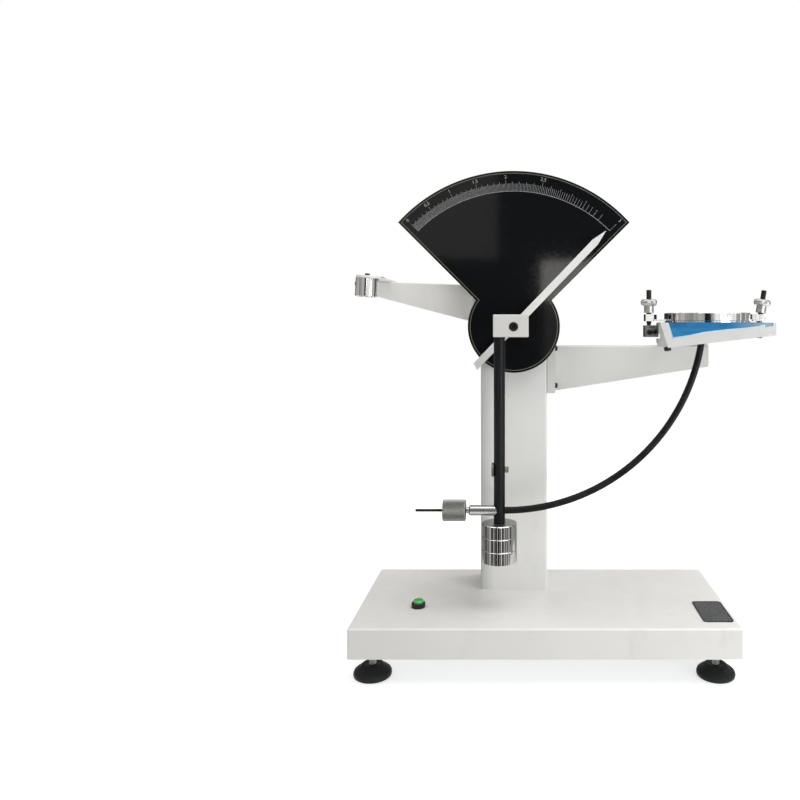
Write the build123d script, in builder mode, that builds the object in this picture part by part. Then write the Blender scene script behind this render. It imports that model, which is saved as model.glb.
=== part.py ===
from build123d import *
from math import cos, radians, sin, sqrt, tan
import os

# Pendulum impact tester for plastic film. Millimetres, +Z up, front towards -Y.
# The origin is on the surface the feet stand on, under the middle of the base.

# Base
base_w = 520.0
base_d = 238.0
base_h = 40.0
base_wall = 2.0
base_bend = 3.0
foot_h = 38.0
flange_w = 12.0
plate_t = 2.5
plate_gap = 0.5

# Column
column_w = 100.0
column_d = 70.0
column_wall = 4.0
column_top_over_pivot = 110.0
column_set_back = 69.0

# Pivot: the pendulum swings in the plane y = swing_y
pivot_x = -42.0
pivot_z = 474.0
swing_y = -43.0
shaft_d = 12.0
running_gap = 0.05
fit = 0.02
seat_gap = 0.3

# Pendulum
rod_d = 16.0
rod_offset = -20.0
rod_bottom = -285.0
rod_top = -2.0
hub_left = -28.5
hub_right = 21.0
hub_bottom = -14.5
hub_top = 17.0
hub_front = -15.0
hub_back = 13.0
weight_d = 50.0
weight_h = 18.0
weight_top = -277.0
weight_count = 3
arc_r = 280.2
arc_rod_d = 9.4
arc_centre_x = -11.4
arc_centre_z = 20.7
head_d = 25.4
head_neck = 3.0
head_cone = 2.0
head_straight = 6.7
armature_z = -202.0
armature_d = 19.5
armature_t = 3.0

# Balance adjuster on the left of the rod
sleeve_d = 14.5
sleeve_left = -63.0
drum_d = 30.0
drum_left = -100.6
drum_right = -66.6
stud_d = 4.0
stud_left = -138.5

# Dial and pointer
dial_r = 68.0
fan_r = 230.0
fan_drop = 17.0
dial_t = 3.0
dial_front = 45.0
pointer_tip = 195.0
pointer_tail = 83.0
pointer_w = 10.5
pointer_t = 1.5
pointer_front = 33.0
pointer_angle = 43.9
hub_ring_d = 26.0
dog_r = 10.0
dog_d = 3.0
dog_lead = 230.0

# Arms
arm_front = 82.0
arm_width = 44.0
arm_wall = 3.0
arm_plate_t = 12.0
left_arm_end = -212.0
left_arm_top = 68.6
left_arm_end_h = 22.0
left_arm_root_h = 56.5
left_arm_root_top = 63.5
right_arm_end = 297.0
right_arm_top = -29.5
right_arm_end_h = 31.5
right_arm_root_h = 68.0

# Release magnet
magnet_x = -207.0
magnet_d = 31.5
hold_gap = 0.4
magnet_tilt = 3.0
magnet_plate_t = 3.3
magnet_plate_w = 37.0
magnet_plate_over = 0.5
magnet_arm_screw = 11.0
magnet_wall = 3.0
magnet_core_d = 14.0

# Specimen table and clamp
ring_x = 273.0
ring_od = 118.0
ring_id = 89.0
ring_h = 11.3
table_top = 5.5
table_front = -64.0
table_back = 128.0
table_left = 195.0
table_right = 348.5
table_left_band = 9.5
table_sheet = 2.0
table_left_drop = 33.5
table_right_drop = 17.0
table_left_lean = 10.5
table_rim = 12.5
rim_proud = 1.2
film_t = 0.4
seat_ring_h = 1.9
bolt_d = 7.0
bolt_left_x = 191.3
bolt_right_x = 345.0
notch_left_x = 203.5
notch_right_x = 334.0
bolt_pin_z = -7.0
bolt_top = 52.0
bolt_lean = 9.0
ear_boss_w = 12.0
nut_d = 23.0
nut_neck_d = 13.6

# Levelling feet
foot_d = 52.0
foot_top_d = 28.0
foot_bell_h = 17.5
foot_stud_d = 10.0
foot_inset_x = 27.0
foot_inset_y = 36.0

# Release button
button_x = -134.5
button_d = 19.4
button_h = 7.0
cap_d = 15.0
cap_proud = 3.5
cap_round = 1.8
button_travel = 2.5

# Bare plate at the right front of the base
label_w = 41.0
label_l = 72.0
label_t = 1.0
label_inset = 5.5
label_y = -18.0

# Power inlet at the back
inlet_w = 27.0
inlet_h = 20.0
inlet_x = 150.0

# Worked out from the sizes above
base_bottom_z = foot_h
base_top_z = foot_h + base_h
column_front_y = swing_y + column_set_back
column_top_z = pivot_z + column_top_over_pivot
inner_floor_z = base_bottom_z + plate_t


def put(piece, name):
    """Name a finished piece and write its STEP file."""
    piece.label = name
    export_step(piece, "parts/" + name + ".step")


def facing_front(y, x=0.0, z=0.0):
    """A plane facing the front, with its origin set off from the pivot."""
    origin = (pivot_x + x, swing_y + y, pivot_z + z)
    return Plane(origin=origin, x_dir=(1, 0, 0), z_dir=(0, -1, 0))


def facing_right(x, y=0.0, z=0.0):
    """A plane facing +X, with its origin set off from the pivot."""
    origin = (pivot_x + x, swing_y + y, pivot_z + z)
    return Plane(origin=origin, x_dir=(0, 1, 0), z_dir=(1, 0, 0))


def facing_up(z, x=0.0, y=0.0):
    """A plane facing up, with its origin set off from the pivot."""
    return Plane.XY.offset(pivot_z + z).shift_origin((pivot_x + x, swing_y + y, pivot_z + z))


os.makedirs("parts", exist_ok=True)

# Base cover: a folded steel box, open below, with a turned-in flange
foot_spots = [
    (side * (base_w / 2 - foot_inset_x), end * (base_d / 2 - foot_inset_y))
    for side in (-1, 1)
    for end in (-1, 1)
]
column_y = column_front_y + column_d / 2
column_bolt_x = column_w / 2 - 18.0
column_bolt_y = column_d / 2 - 14.0
column_bolt_d = 8.0
button_hole_d = 16.0
label_centre_x = base_w / 2 - label_inset - label_w / 2
inlet_z = base_bottom_z + base_h / 2
flange_z = inner_floor_z

with BuildPart() as base_cover:
    with BuildSketch(Plane.XY.offset(base_bottom_z)):
        RectangleRounded(base_w, base_d, base_bend)
    extrude(amount=base_h)
    fillet(base_cover.faces().sort_by(Axis.Z)[-1].edges(), base_bend - 0.2)
    with BuildSketch(Plane.XY.offset(base_bottom_z)):
        Rectangle(base_w - 2 * base_wall, base_d - 2 * base_wall)
    extrude(amount=base_h - base_wall, mode=Mode.SUBTRACT)
    with BuildSketch(Plane.XY.offset(flange_z)):
        Rectangle(base_w - base_wall, base_d - base_wall)
        Rectangle(base_w - 2 * flange_w, base_d - 2 * flange_w, mode=Mode.SUBTRACT)
    extrude(amount=base_wall)
    with Locations((pivot_x + button_x, swing_y, base_top_z)):
        Hole(button_hole_d / 2, depth=2 * base_wall)
    with Locations((pivot_x, column_y, base_top_z)):
        with GridLocations(2 * column_bolt_x, 2 * column_bolt_y, 2, 2):
            Hole(column_bolt_d / 2 + 0.25, depth=2 * base_wall)
    with BuildSketch(Plane.XZ.offset(-base_d / 2)):
        with Locations((inlet_x, inlet_z)):
            Rectangle(inlet_w + 2 * seat_gap, inlet_h + 2 * seat_gap)
    extrude(amount=2 * base_wall, both=True, mode=Mode.SUBTRACT)
put(base_cover.part, "base_cover")

# Bottom plate, held to the flange by a row of screws
plate_w = base_w - 2 * base_wall - 2 * plate_gap
plate_d = base_d - 2 * base_wall - 2 * plate_gap
plate_screw_x = base_w / 2 - base_wall - flange_w / 2
plate_screw_y = base_d / 2 - base_wall - flange_w / 2
plate_screw_d = 4.0
vent_l = 34.0
vent_w = 3.0
vent_pitch = 9.0

with BuildPart() as base_plate:
    with BuildSketch(Plane.XY.offset(base_bottom_z)):
        Rectangle(plate_w, plate_d)
        with Locations(*foot_spots):
            Circle(foot_stud_d / 2 + 0.5, mode=Mode.SUBTRACT)
        with GridLocations(2 * plate_screw_x / 3, 2 * plate_screw_y, 4, 2):
            Circle(plate_screw_d / 2 + 0.2, mode=Mode.SUBTRACT)
        with Locations((inlet_x, -base_d / 5)):
            with GridLocations(vent_pitch, 1, 7, 1):
                SlotOverall(vent_l, vent_w, rotation=90, mode=Mode.SUBTRACT)
    extrude(amount=plate_t)
put(base_plate.part, "base_plate")

with BuildPart() as plate_screws:
    with BuildSketch(Plane.XY.offset(base_bottom_z)):
        with GridLocations(2 * plate_screw_x / 3, 2 * plate_screw_y, 4, 2):
            Circle(plate_screw_d * 0.9)
    extrude(amount=-1.8)
    with BuildSketch(Plane.XY.offset(base_bottom_z)):
        with GridLocations(2 * plate_screw_x / 3, 2 * plate_screw_y, 4, 2):
            Circle(plate_screw_d / 2)
    extrude(amount=plate_t)
put(plate_screws.part, "plate_screws")

# Column: a square-cornered steel tube on a foot plate inside the base
column_corner = 3.0
bearing_bore_d = 46.0
column_height = column_top_z - base_top_z

with BuildPart() as column:
    with BuildSketch(Plane.XY.offset(base_top_z)):
        with Locations((pivot_x, column_y)):
            RectangleRounded(column_w, column_d, column_corner)
            Rectangle(column_w - 2 * column_wall, column_d - 2 * column_wall, mode=Mode.SUBTRACT)
    extrude(amount=column_height)
    with BuildSketch(Plane.XY.offset(base_top_z)):
        with Locations((pivot_x, column_y)):
            Rectangle(column_w - column_wall, column_d - column_wall)
            with GridLocations(2 * column_bolt_x, 2 * column_bolt_y, 2, 2):
                Circle(column_bolt_d / 2 + 0.05, mode=Mode.SUBTRACT)
    extrude(amount=2 * column_wall)
    with BuildSketch(facing_front(column_set_back)):
        Circle(bearing_bore_d / 2)
    extrude(amount=-column_d, mode=Mode.SUBTRACT)
put(column.part, "column")

foot_block_t = 6.0
foot_block_w = column_w + 40.0
foot_block_d = column_d + 20.0
with BuildPart() as column_foot:
    with BuildSketch(Plane.XY.offset(base_top_z - base_wall - foot_block_t)):
        with Locations((pivot_x, column_y)):
            Rectangle(foot_block_w, foot_block_d)
            with GridLocations(2 * column_bolt_x, 2 * column_bolt_y, 2, 2):
                Circle(column_bolt_d / 2 + 0.25, mode=Mode.SUBTRACT)
    extrude(amount=foot_block_t)
put(column_foot.part, "column_foot")

bolt_head_h = 5.5
with BuildPart() as column_bolts:
    with BuildSketch(Plane.XY.offset(base_top_z - base_wall - foot_block_t)):
        with Locations((pivot_x, column_y)):
            with GridLocations(2 * column_bolt_x, 2 * column_bolt_y, 2, 2):
                RegularPolygon(column_bolt_d * 0.93, 6)
    extrude(amount=-bolt_head_h)
    with BuildSketch(Plane.XY.offset(base_top_z - base_wall - foot_block_t)):
        with Locations((pivot_x, column_y)):
            with GridLocations(2 * column_bolt_x, 2 * column_bolt_y, 2, 2):
                Circle(column_bolt_d / 2)
    extrude(amount=foot_block_t + base_wall + 2 * column_wall)
put(column_bolts.part, "column_bolts")

cap_t = 3.0
cap_plug_h = 10.0
cap_plug_w = column_w - 2 * column_wall - 2 * seat_gap
cap_plug_d = column_d - 2 * column_wall - 2 * seat_gap
with BuildPart() as column_cap:
    with BuildSketch(Plane.XY.offset(column_top_z)):
        with Locations((pivot_x, column_y)):
            RectangleRounded(column_w, column_d, column_corner)
    extrude(amount=cap_t)
    fillet(column_cap.faces().sort_by(Axis.Z)[-1].edges(), 1.5)
    with BuildSketch(Plane.XY.offset(column_top_z)):
        with Locations((pivot_x, column_y)):
            Rectangle(cap_plug_w, cap_plug_d)
            Rectangle(column_w - 4 * column_wall, column_d - 4 * column_wall, mode=Mode.SUBTRACT)
    extrude(amount=-cap_plug_h)
put(column_cap.part, "column_cap")

# Bearing housing through the column, with a flange on the front face
housing_flange_d = 68.0
housing_flange_t = 8.0
housing_screw_pcd = 57.0
housing_screw_d = 5.0
bearing_od = 28.0
bearing_w = 8.0
bearing_shoulder = 2.0
housing_back = column_set_back + column_d

with BuildPart() as bearing_housing:
    with BuildSketch(facing_front(column_set_back)):
        Circle(housing_flange_d / 2)
        with PolarLocations(housing_screw_pcd / 2, 4, start_angle=45):
            Circle(housing_screw_d / 2 + 0.2, mode=Mode.SUBTRACT)
    extrude(amount=housing_flange_t)
    front_edges = bearing_housing.faces().sort_by(Axis.Y)[0].edges().filter_by(GeomType.CIRCLE)
    chamfer(front_edges.sort_by(SortBy.RADIUS)[-1], 1)
    with BuildSketch(facing_front(column_set_back)):
        Circle(bearing_bore_d / 2 - 0.1)
    extrude(amount=-column_d)
    with BuildSketch(facing_front(housing_back)):
        Circle(bearing_od / 2 - bearing_shoulder)
    extrude(amount=column_d + housing_flange_t, mode=Mode.SUBTRACT)
    with BuildSketch(facing_front(column_set_back - housing_flange_t)):
        Circle(bearing_od / 2)
    extrude(amount=-bearing_w - 0.5, mode=Mode.SUBTRACT)
    with BuildSketch(facing_front(housing_back)):
        Circle(bearing_od / 2)
    extrude(amount=bearing_w + 0.5, mode=Mode.SUBTRACT)
put(bearing_housing.part, "bearing_housing")

with BuildPart() as housing_screws:
    with BuildSketch(facing_front(column_set_back - housing_flange_t)):
        with PolarLocations(housing_screw_pcd / 2, 4, start_angle=45):
            Circle(housing_screw_d * 0.85)
    extrude(amount=housing_screw_d * 0.9)
    with BuildSketch(facing_front(column_set_back - housing_flange_t)):
        with PolarLocations(housing_screw_pcd / 2, 4, start_angle=45):
            Circle(housing_screw_d / 2)
    extrude(amount=-housing_flange_t)
put(housing_screws.part, "housing_screws")


# Two shielded ball bearings, one at each end of the housing
shield_in = 0.8
shield_band = 2.3
bearing_fronts = (column_set_back - housing_flange_t + 0.5, housing_back - bearing_w - 0.5)
with BuildPart() as shaft_bearings:
    for front in bearing_fronts:
        with BuildSketch(facing_front(front)):
            Circle(bearing_od / 2 - running_gap)
            Circle(shaft_d / 2 + running_gap, mode=Mode.SUBTRACT)
        extrude(amount=-bearing_w)
        with BuildSketch(facing_front(front)):
            Circle(bearing_od / 2 - shield_band)
            Circle(shaft_d / 2 + shield_band, mode=Mode.SUBTRACT)
        extrude(amount=-shield_in, mode=Mode.SUBTRACT)
        with BuildSketch(facing_front(front + bearing_w)):
            Circle(bearing_od / 2 - shield_band)
            Circle(shaft_d / 2 + shield_band, mode=Mode.SUBTRACT)
        extrude(amount=shield_in, mode=Mode.SUBTRACT)
put(shaft_bearings.part, "shaft_bearings")

rear_cap_t = 7.0
with BuildPart() as rear_cap:
    with BuildSketch(facing_front(housing_back)):
        Circle(housing_flange_d / 2)
    extrude(amount=-rear_cap_t)
    chamfer(rear_cap.faces().sort_by(Axis.Y)[-1].edges(), 1.5)
    with BuildSketch(facing_front(housing_back)):
        Circle(bearing_od / 2 - 2)
    extrude(amount=-rear_cap_t + 2, mode=Mode.SUBTRACT)
put(rear_cap.part, "rear_cap")

# Pivot shaft
shaft_back = housing_back + rear_cap_t - 2.5
with BuildPart() as pivot_shaft:
    with BuildSketch(facing_front(hub_front + 9)):
        Circle(shaft_d / 2)
    extrude(amount=-(shaft_back - hub_front - 9))
    chamfer(pivot_shaft.edges().filter_by(GeomType.CIRCLE), 0.5)
put(pivot_shaft.part, "pivot_shaft")

# Hub block that carries the rod beside the shaft
screw_head_d = 13.0
with BuildPart() as hub_block:
    with BuildSketch(facing_front(hub_front)):
        with Locations(((hub_left + hub_right) / 2, (hub_bottom + hub_top) / 2)):
            Rectangle(hub_right - hub_left, hub_top - hub_bottom)
    extrude(amount=-(hub_back - hub_front))
    chamfer(hub_block.edges(), 0.8)
    with BuildSketch(facing_front(hub_front)):
        Circle(screw_head_d / 2 + 0.1)
    extrude(amount=-7.0, mode=Mode.SUBTRACT)
    with BuildSketch(facing_front(hub_front)):
        Circle(shaft_d / 2 + 0.01)
    extrude(amount=-(hub_back - hub_front), mode=Mode.SUBTRACT)
    with BuildSketch(facing_up(hub_bottom, rod_offset)):
        Circle(rod_d / 2 + 0.01)
    extrude(amount=rod_top - hub_bottom, mode=Mode.SUBTRACT)
put(hub_block.part, "hub_block")

with BuildPart() as pivot_screw:
    with BuildSketch(facing_front(hub_front + 7.0)):
        Circle(screw_head_d / 2)
    extrude(amount=7.6)
    chamfer(pivot_screw.faces().sort_by(Axis.Y)[0].edges(), 0.6)
    with BuildSketch(facing_front(hub_front - 0.6)):
        RegularPolygon(3.4, 6)
    extrude(amount=-4.5, mode=Mode.SUBTRACT)
    with BuildSketch(facing_front(hub_front + 7.0)):
        Circle(shaft_d / 2)
    extrude(amount=-2.0)
put(pivot_screw.part, "pivot_screw")

# Collar behind the hub block, with the dog that takes the pointer along
collar_back = 25.0
with BuildPart() as driver_collar:
    with BuildSketch(facing_front(hub_back)):
        Circle(hub_ring_d / 2)
        Circle(shaft_d / 2 + 0.01, mode=Mode.SUBTRACT)
    extrude(amount=-(collar_back - hub_back))
    with BuildSketch(facing_front(collar_back)):
        with PolarLocations(dog_r, 1, start_angle=180):
            Circle(dog_d / 2)
    extrude(amount=-3.0)
put(driver_collar.part, "driver_collar")

# Pendulum rod
cross_bore_d = arc_rod_d + 0.1
arc_bottom = arc_centre_z - arc_r
with BuildPart() as pendulum_rod:
    with BuildSketch(facing_up(rod_bottom, rod_offset)):
        Circle(rod_d / 2)
    extrude(amount=rod_top - rod_bottom)
    chamfer(pendulum_rod.edges().filter_by(GeomType.CIRCLE), 0.8)
    with BuildSketch(facing_right(rod_offset - rod_d, 0, arc_bottom)):
        Circle(cross_bore_d / 2)
    extrude(amount=2 * rod_d, mode=Mode.SUBTRACT)
    with BuildSketch(facing_right(rod_offset - rod_d, 0, armature_z)):
        Circle(2.6)
    extrude(amount=2 * rod_d, mode=Mode.SUBTRACT)
put(pendulum_rod.part, "pendulum_rod")

# Three stacked weights under the rod
weight_bolt_d = 8.0
weight_edge = 0.7
for index, name in enumerate(("top_weight", "middle_weight", "bottom_weight")):
    top = weight_top - index * weight_h
    with BuildPart() as weight:
        with BuildSketch(facing_up(top - weight_h, rod_offset)):
            Circle(weight_d / 2)
        extrude(amount=weight_h)
        chamfer(weight.edges().filter_by(GeomType.CIRCLE), weight_edge)
        with BuildSketch(facing_up(top - weight_h, rod_offset)):
            Circle(weight_bolt_d / 2 + fit)
        extrude(amount=weight_h, mode=Mode.SUBTRACT)
        if index == 0:
            with BuildSketch(facing_up(top, rod_offset)):
                Circle(rod_d / 2 + fit)
            extrude(amount=rod_bottom - top, mode=Mode.SUBTRACT)
    put(weight.part, name)

stack_bottom = weight_top - weight_count * weight_h
with BuildPart() as weight_bolt:
    with BuildSketch(facing_up(stack_bottom, rod_offset)):
        RegularPolygon(7.5, 6)
    extrude(amount=-5.3)
    with BuildSketch(facing_up(stack_bottom, rod_offset)):
        Circle(weight_bolt_d / 2)
    extrude(amount=rod_bottom - stack_bottom)
put(weight_bolt.part, "weight_bolt")

# Steel armature that the magnet holds, and its screw through the rod
armature_face = rod_offset - rod_d / 2 - armature_t
with BuildPart() as armature:
    with BuildSketch(facing_right(armature_face, 0, armature_z)):
        Circle(armature_d / 2)
    extrude(amount=armature_t - 0.2)
    chamfer(armature.edges().filter_by(GeomType.CIRCLE), 0.4)
    with BuildSketch(facing_right(rod_offset - rod_d / 2 - 0.4, 0, armature_z)):
        Circle(2.55)
    extrude(amount=rod_d + 0.4)
    with BuildSketch(facing_right(rod_offset + rod_d / 2, 0, armature_z)):
        Circle(4.2)
    extrude(amount=5.0)
    chamfer(armature.faces().sort_by(Axis.X)[-1].edges(), 0.6)
    with BuildSketch(facing_right(rod_offset + rod_d / 2 + 5.0, 0, armature_z)):
        RegularPolygon(2.3, 6)
    extrude(amount=-2.5, mode=Mode.SUBTRACT)
put(armature.part, "armature")

# Bent strike arm and its round striking head
arc_end_z = -20.0


def arc_angle(height):
    """Angle round the arc's centre, from straight down, at a given height."""
    drop = arc_centre_z - height
    return 90.0 - Vector(sqrt(arc_r ** 2 - drop ** 2), -drop).get_angle(Vector(1, 0))


arc_lean = 90.0 - arc_angle(arc_end_z)
arc_axis = Axis((pivot_x + arc_centre_x, swing_y, pivot_z + arc_centre_z), (0, -1, 0))
arc_sweep = arc_angle(arc_end_z)
start_plane = facing_right(arc_centre_x, 0, arc_bottom)

with BuildPart() as strike_arc:
    with BuildSketch(start_plane):
        Circle(arc_rod_d / 2)
    revolve(axis=arc_axis, revolution_arc=arc_sweep)
    with BuildSketch(start_plane):
        Circle(arc_rod_d / 2)
    extrude(amount=rod_offset - arc_centre_x)
put(strike_arc.part, "strike_arc")

arc_end_x = arc_centre_x + arc_r * cos(radians(arc_lean))
lean_dir = (sin(radians(arc_lean)), 0, cos(radians(arc_lean)))
head_plane = Plane(
    origin=(pivot_x + arc_end_x, swing_y, pivot_z + arc_end_z),
    x_dir=(cos(radians(arc_lean)), 0, -sin(radians(arc_lean))),
    z_dir=lean_dir,
)
head_neck_r = arc_rod_d / 2 + 2.0
head_base = head_neck + head_cone
head_top = head_base + head_straight
with BuildPart() as impact_head:
    with BuildSketch(Plane(head_plane.origin, x_dir=head_plane.x_dir, z_dir=-head_plane.y_dir)):
        with BuildLine():
            Polyline((0, 0), (head_neck_r, 0), (head_neck_r, head_neck), (head_d / 2, head_base))
            Line((head_d / 2, head_base), (head_d / 2, head_top))
            RadiusArc((head_d / 2, head_top), (0, head_top + head_d / 2), head_d / 2)
            Line((0, head_top + head_d / 2), (0, 0))
        make_face()
    revolve(axis=Axis(head_plane.origin, head_plane.z_dir))
put(impact_head.part, "impact_head")

# Balance adjuster: sleeve, threaded stud and knurled drum
with BuildPart() as adjuster_sleeve:
    with BuildSketch(facing_right(sleeve_left, 0, arc_bottom)):
        Circle(sleeve_d / 2)
    extrude(amount=rod_offset - sqrt((rod_d / 2) ** 2 - (sleeve_d / 2) ** 2) - sleeve_left)
    chamfer(adjuster_sleeve.faces().sort_by(Axis.X)[0].edges(), 1.5)
    with BuildSketch(facing_right(sleeve_left, 0, arc_bottom)):
        Circle(4.2)
    extrude(amount=-(sleeve_left - drum_right - seat_gap))
    with BuildSketch(facing_up(arc_bottom - sleeve_d, rod_offset)):
        Circle(rod_d / 2 + 0.02)
    extrude(amount=2 * sleeve_d, mode=Mode.SUBTRACT)
    with BuildSketch(facing_right(rod_offset - rod_d / 2 - 1, 0, arc_bottom)):
        Circle(arc_rod_d / 2)
    extrude(amount=rod_d / 2 + 1 - 0.1)
put(adjuster_sleeve.part, "adjuster_sleeve")

neck_end = drum_right + seat_gap
with BuildPart() as adjuster_stud:
    with BuildSketch(facing_right(stud_left, 0, arc_bottom)):
        Circle(stud_d / 2)
    extrude(amount=neck_end - stud_left)
    chamfer(adjuster_stud.faces().sort_by(Axis.X)[0].edges(), 0.5)
put(adjuster_stud.part, "adjuster_stud")

with BuildPart() as balance_drum:
    with BuildSketch(facing_right(drum_left, 0, arc_bottom)):
        Circle(drum_d / 2)
        Circle(stud_d / 2 + running_gap, mode=Mode.SUBTRACT)
    extrude(amount=drum_right - drum_left)
    chamfer(balance_drum.edges().filter_by(GeomType.CIRCLE).group_by(SortBy.RADIUS)[-1], 1.2)
put(balance_drum.part, "balance_drum")

# Dial plate: a disc round the pivot with a quarter-circle fan above it
fan_reach = 2 * fan_r
fan_top = fan_reach - fan_drop
with BuildPart() as dial_plate:
    with BuildSketch(facing_front(dial_front)):
        with BuildLine():
            Polyline((0, -fan_drop), (fan_reach, fan_top), (-fan_reach, fan_top), close=True)
        make_face()
        Circle(fan_r, mode=Mode.INTERSECT)
        Circle(dial_r)
        Circle(shaft_d / 2 + 2, mode=Mode.SUBTRACT)
    extrude(amount=-dial_t)
    chamfer(dial_plate.faces().sort_by(Axis.Y)[0].outer_wire().edges(), 0.4)
put(dial_plate.part, "dial_plate")

standoff_spots = [(-38, -38), (38, -38), (-38, 92), (38, 92)]
with BuildPart() as dial_standoffs:
    with BuildSketch(facing_front(dial_front + dial_t)):
        with Locations(*standoff_spots):
            RegularPolygon(5.5, 6)
    extrude(amount=-(column_set_back - dial_front - dial_t))
put(dial_standoffs.part, "dial_standoffs")

# Pointer on its own bush, free on the shaft
bush_front = 30.0
bush_back = 37.0
needle_taper = 24.0
with BuildPart() as pointer:
    with BuildSketch(facing_front(pointer_front)):
        with BuildLine(Rotation(0, 0, 90 - pointer_angle)):
            Polyline(
                (-pointer_tail, -pointer_w / 2),
                (pointer_tip - needle_taper, -pointer_w / 2),
                (pointer_tip, 0),
                (pointer_tip - needle_taper, pointer_w / 2),
                (-pointer_tail + 4, pointer_w / 2),
                close=True,
            )
        make_face()
        Circle(hub_ring_d / 2 + 1.5)
        Circle(hub_ring_d / 2 - 3.5, mode=Mode.SUBTRACT)
    extrude(amount=-pointer_t)
put(pointer.part, "pointer")

with BuildPart() as pointer_bush:
    with BuildSketch(facing_front(bush_front)):
        Circle(hub_ring_d / 2)
        Circle(shaft_d / 2 + running_gap, mode=Mode.SUBTRACT)
    extrude(amount=-(pointer_front - bush_front))
    with BuildSketch(facing_front(pointer_front)):
        Circle(hub_ring_d / 2 - 3.52)
        Circle(shaft_d / 2 + running_gap, mode=Mode.SUBTRACT)
    extrude(amount=-(bush_back - pointer_front))
    with BuildSketch(facing_front(bush_front)):
        with PolarLocations(dog_r, 1, start_angle=180 - dog_lead):
            Circle(dog_d / 2)
    extrude(amount=3.0)
put(pointer_bush.part, "pointer_bush")

with BuildPart() as shaft_clip:
    with BuildSketch(facing_front(bush_back + seat_gap)):
        Circle(shaft_d / 2 + 4)
        Circle(shaft_d / 2 + 0.01, mode=Mode.SUBTRACT)
    extrude(amount=-4)
put(shaft_clip.part, "shaft_clip")

# Left arm that carries the release magnet
left_root = -column_w / 2 - arm_plate_t


def tapered_arm(root, end, root_top, root_h, end_top, end_h, flange_top, flange_h):
    """A folded box arm, deeper at the column than at its end, welded to its flange."""
    side = 1 if end > root else -1
    inward = side * arm_wall
    column_side = side * column_w / 2
    with BuildPart() as arm:
        with BuildSketch(facing_front(arm_front)):
            with BuildLine():
                Polyline(
                    (root, root_top),
                    (end, end_top),
                    (end, end_top - end_h),
                    (root, root_top - root_h),
                    close=True,
                )
            make_face()
        extrude(amount=-arm_width)
        chamfer(arm.faces().sort_by(Axis.Y)[0].edges(), arm_edge)
        chamfer(arm.faces().sort_by(Axis.Y)[-1].edges(), arm_edge)
        with BuildSketch(facing_front(column_set_back)):
            with Locations(((root + column_side) / 2, flange_top - flange_h / 2)):
                Rectangle(arm_plate_t, flange_h)
        extrude(amount=-column_d)
        flange_corners = arm.edges().filter_by(Axis.X).filter_by_position(
            Axis.X, min(pivot_x + column_side, pivot_x + root), max(pivot_x + column_side, pivot_x + root)
        )
        fillet(flange_corners, flange_corner)
        with BuildSketch(facing_front(arm_front + arm_wall)):
            with BuildLine():
                Polyline(
                    (root, root_top - arm_wall),
                    (end - inward, end_top - arm_wall),
                    (end - inward, end_top - end_h + arm_wall),
                    (root, root_top - root_h + arm_wall),
                    close=True,
                )
            make_face()
        extrude(amount=-(arm_width - 2 * arm_wall), mode=Mode.SUBTRACT)
    return arm.part


arm_edge = 0.8
flange_corner = 2.0
flange_over = 3.0
left_flange_top = left_arm_root_top + flange_over
left_flange_h = left_arm_root_h + 2 * flange_over
left_arm_solid = tapered_arm(
    left_root,
    left_arm_end,
    left_arm_root_top,
    left_arm_root_h,
    left_arm_top,
    left_arm_end_h,
    left_flange_top,
    left_flange_h,
)
put(left_arm_solid, "left_arm")

right_root = column_w / 2 + arm_plate_t
right_flange_top = right_arm_top + flange_over
right_flange_h = right_arm_root_h + 2 * flange_over
right_arm_solid = tapered_arm(
    right_root,
    right_arm_end,
    right_arm_top,
    right_arm_root_h,
    right_arm_top,
    right_arm_end_h,
    right_flange_top,
    right_flange_h,
)
# The pedestal welded on top of the right arm, up to the underside of the table
pedestal_x = 266.5
pedestal_w = 61.0
pedestal_wall = 4.0
pedestal_d = arm_width - 6.0
pedestal_h = table_top - table_sheet - right_arm_top
arm_middle = arm_front + arm_width / 2
table_screw_d = 4.0
table_screw_in = 10.0
with BuildPart() as right_arm:
    add(right_arm_solid)
    with BuildSketch(facing_up(right_arm_top, pedestal_x, arm_middle)):
        Rectangle(pedestal_w, pedestal_d)
        Rectangle(pedestal_w - 2 * pedestal_wall, pedestal_d - 2 * pedestal_wall, mode=Mode.SUBTRACT)
    extrude(amount=pedestal_h)
    with BuildSketch(facing_up(right_arm_top + pedestal_h, pedestal_x, arm_middle)):
        Rectangle(pedestal_w, pedestal_d)
        with GridLocations(pedestal_w - 2 * table_screw_in, pedestal_d - 2 * table_screw_in, 2, 2):
            Circle(table_screw_d / 2 + fit, mode=Mode.SUBTRACT)
    extrude(amount=-pedestal_wall)
put(right_arm.part, "right_arm")

arm_screw_head_d = 7.8
arm_screw_head_h = 3.9
arm_screw_in = 6.3
arm_screw_depths = (column_set_back + arm_screw_in, housing_back - arm_screw_in)
with BuildPart() as arm_screws:
    for root, direction, top, height in (
        (left_root, -1, left_flange_top, left_flange_h),
        (right_root, 1, right_flange_top, right_flange_h),
    ):
        with BuildSketch(facing_right(root)):
            for depth in arm_screw_depths:
                with Locations((depth, top - arm_screw_in), (depth, top - height + arm_screw_in)):
                    Circle(arm_screw_head_d / 2)
        extrude(amount=direction * arm_screw_head_h)
put(arm_screws.part, "arm_screws")

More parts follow.
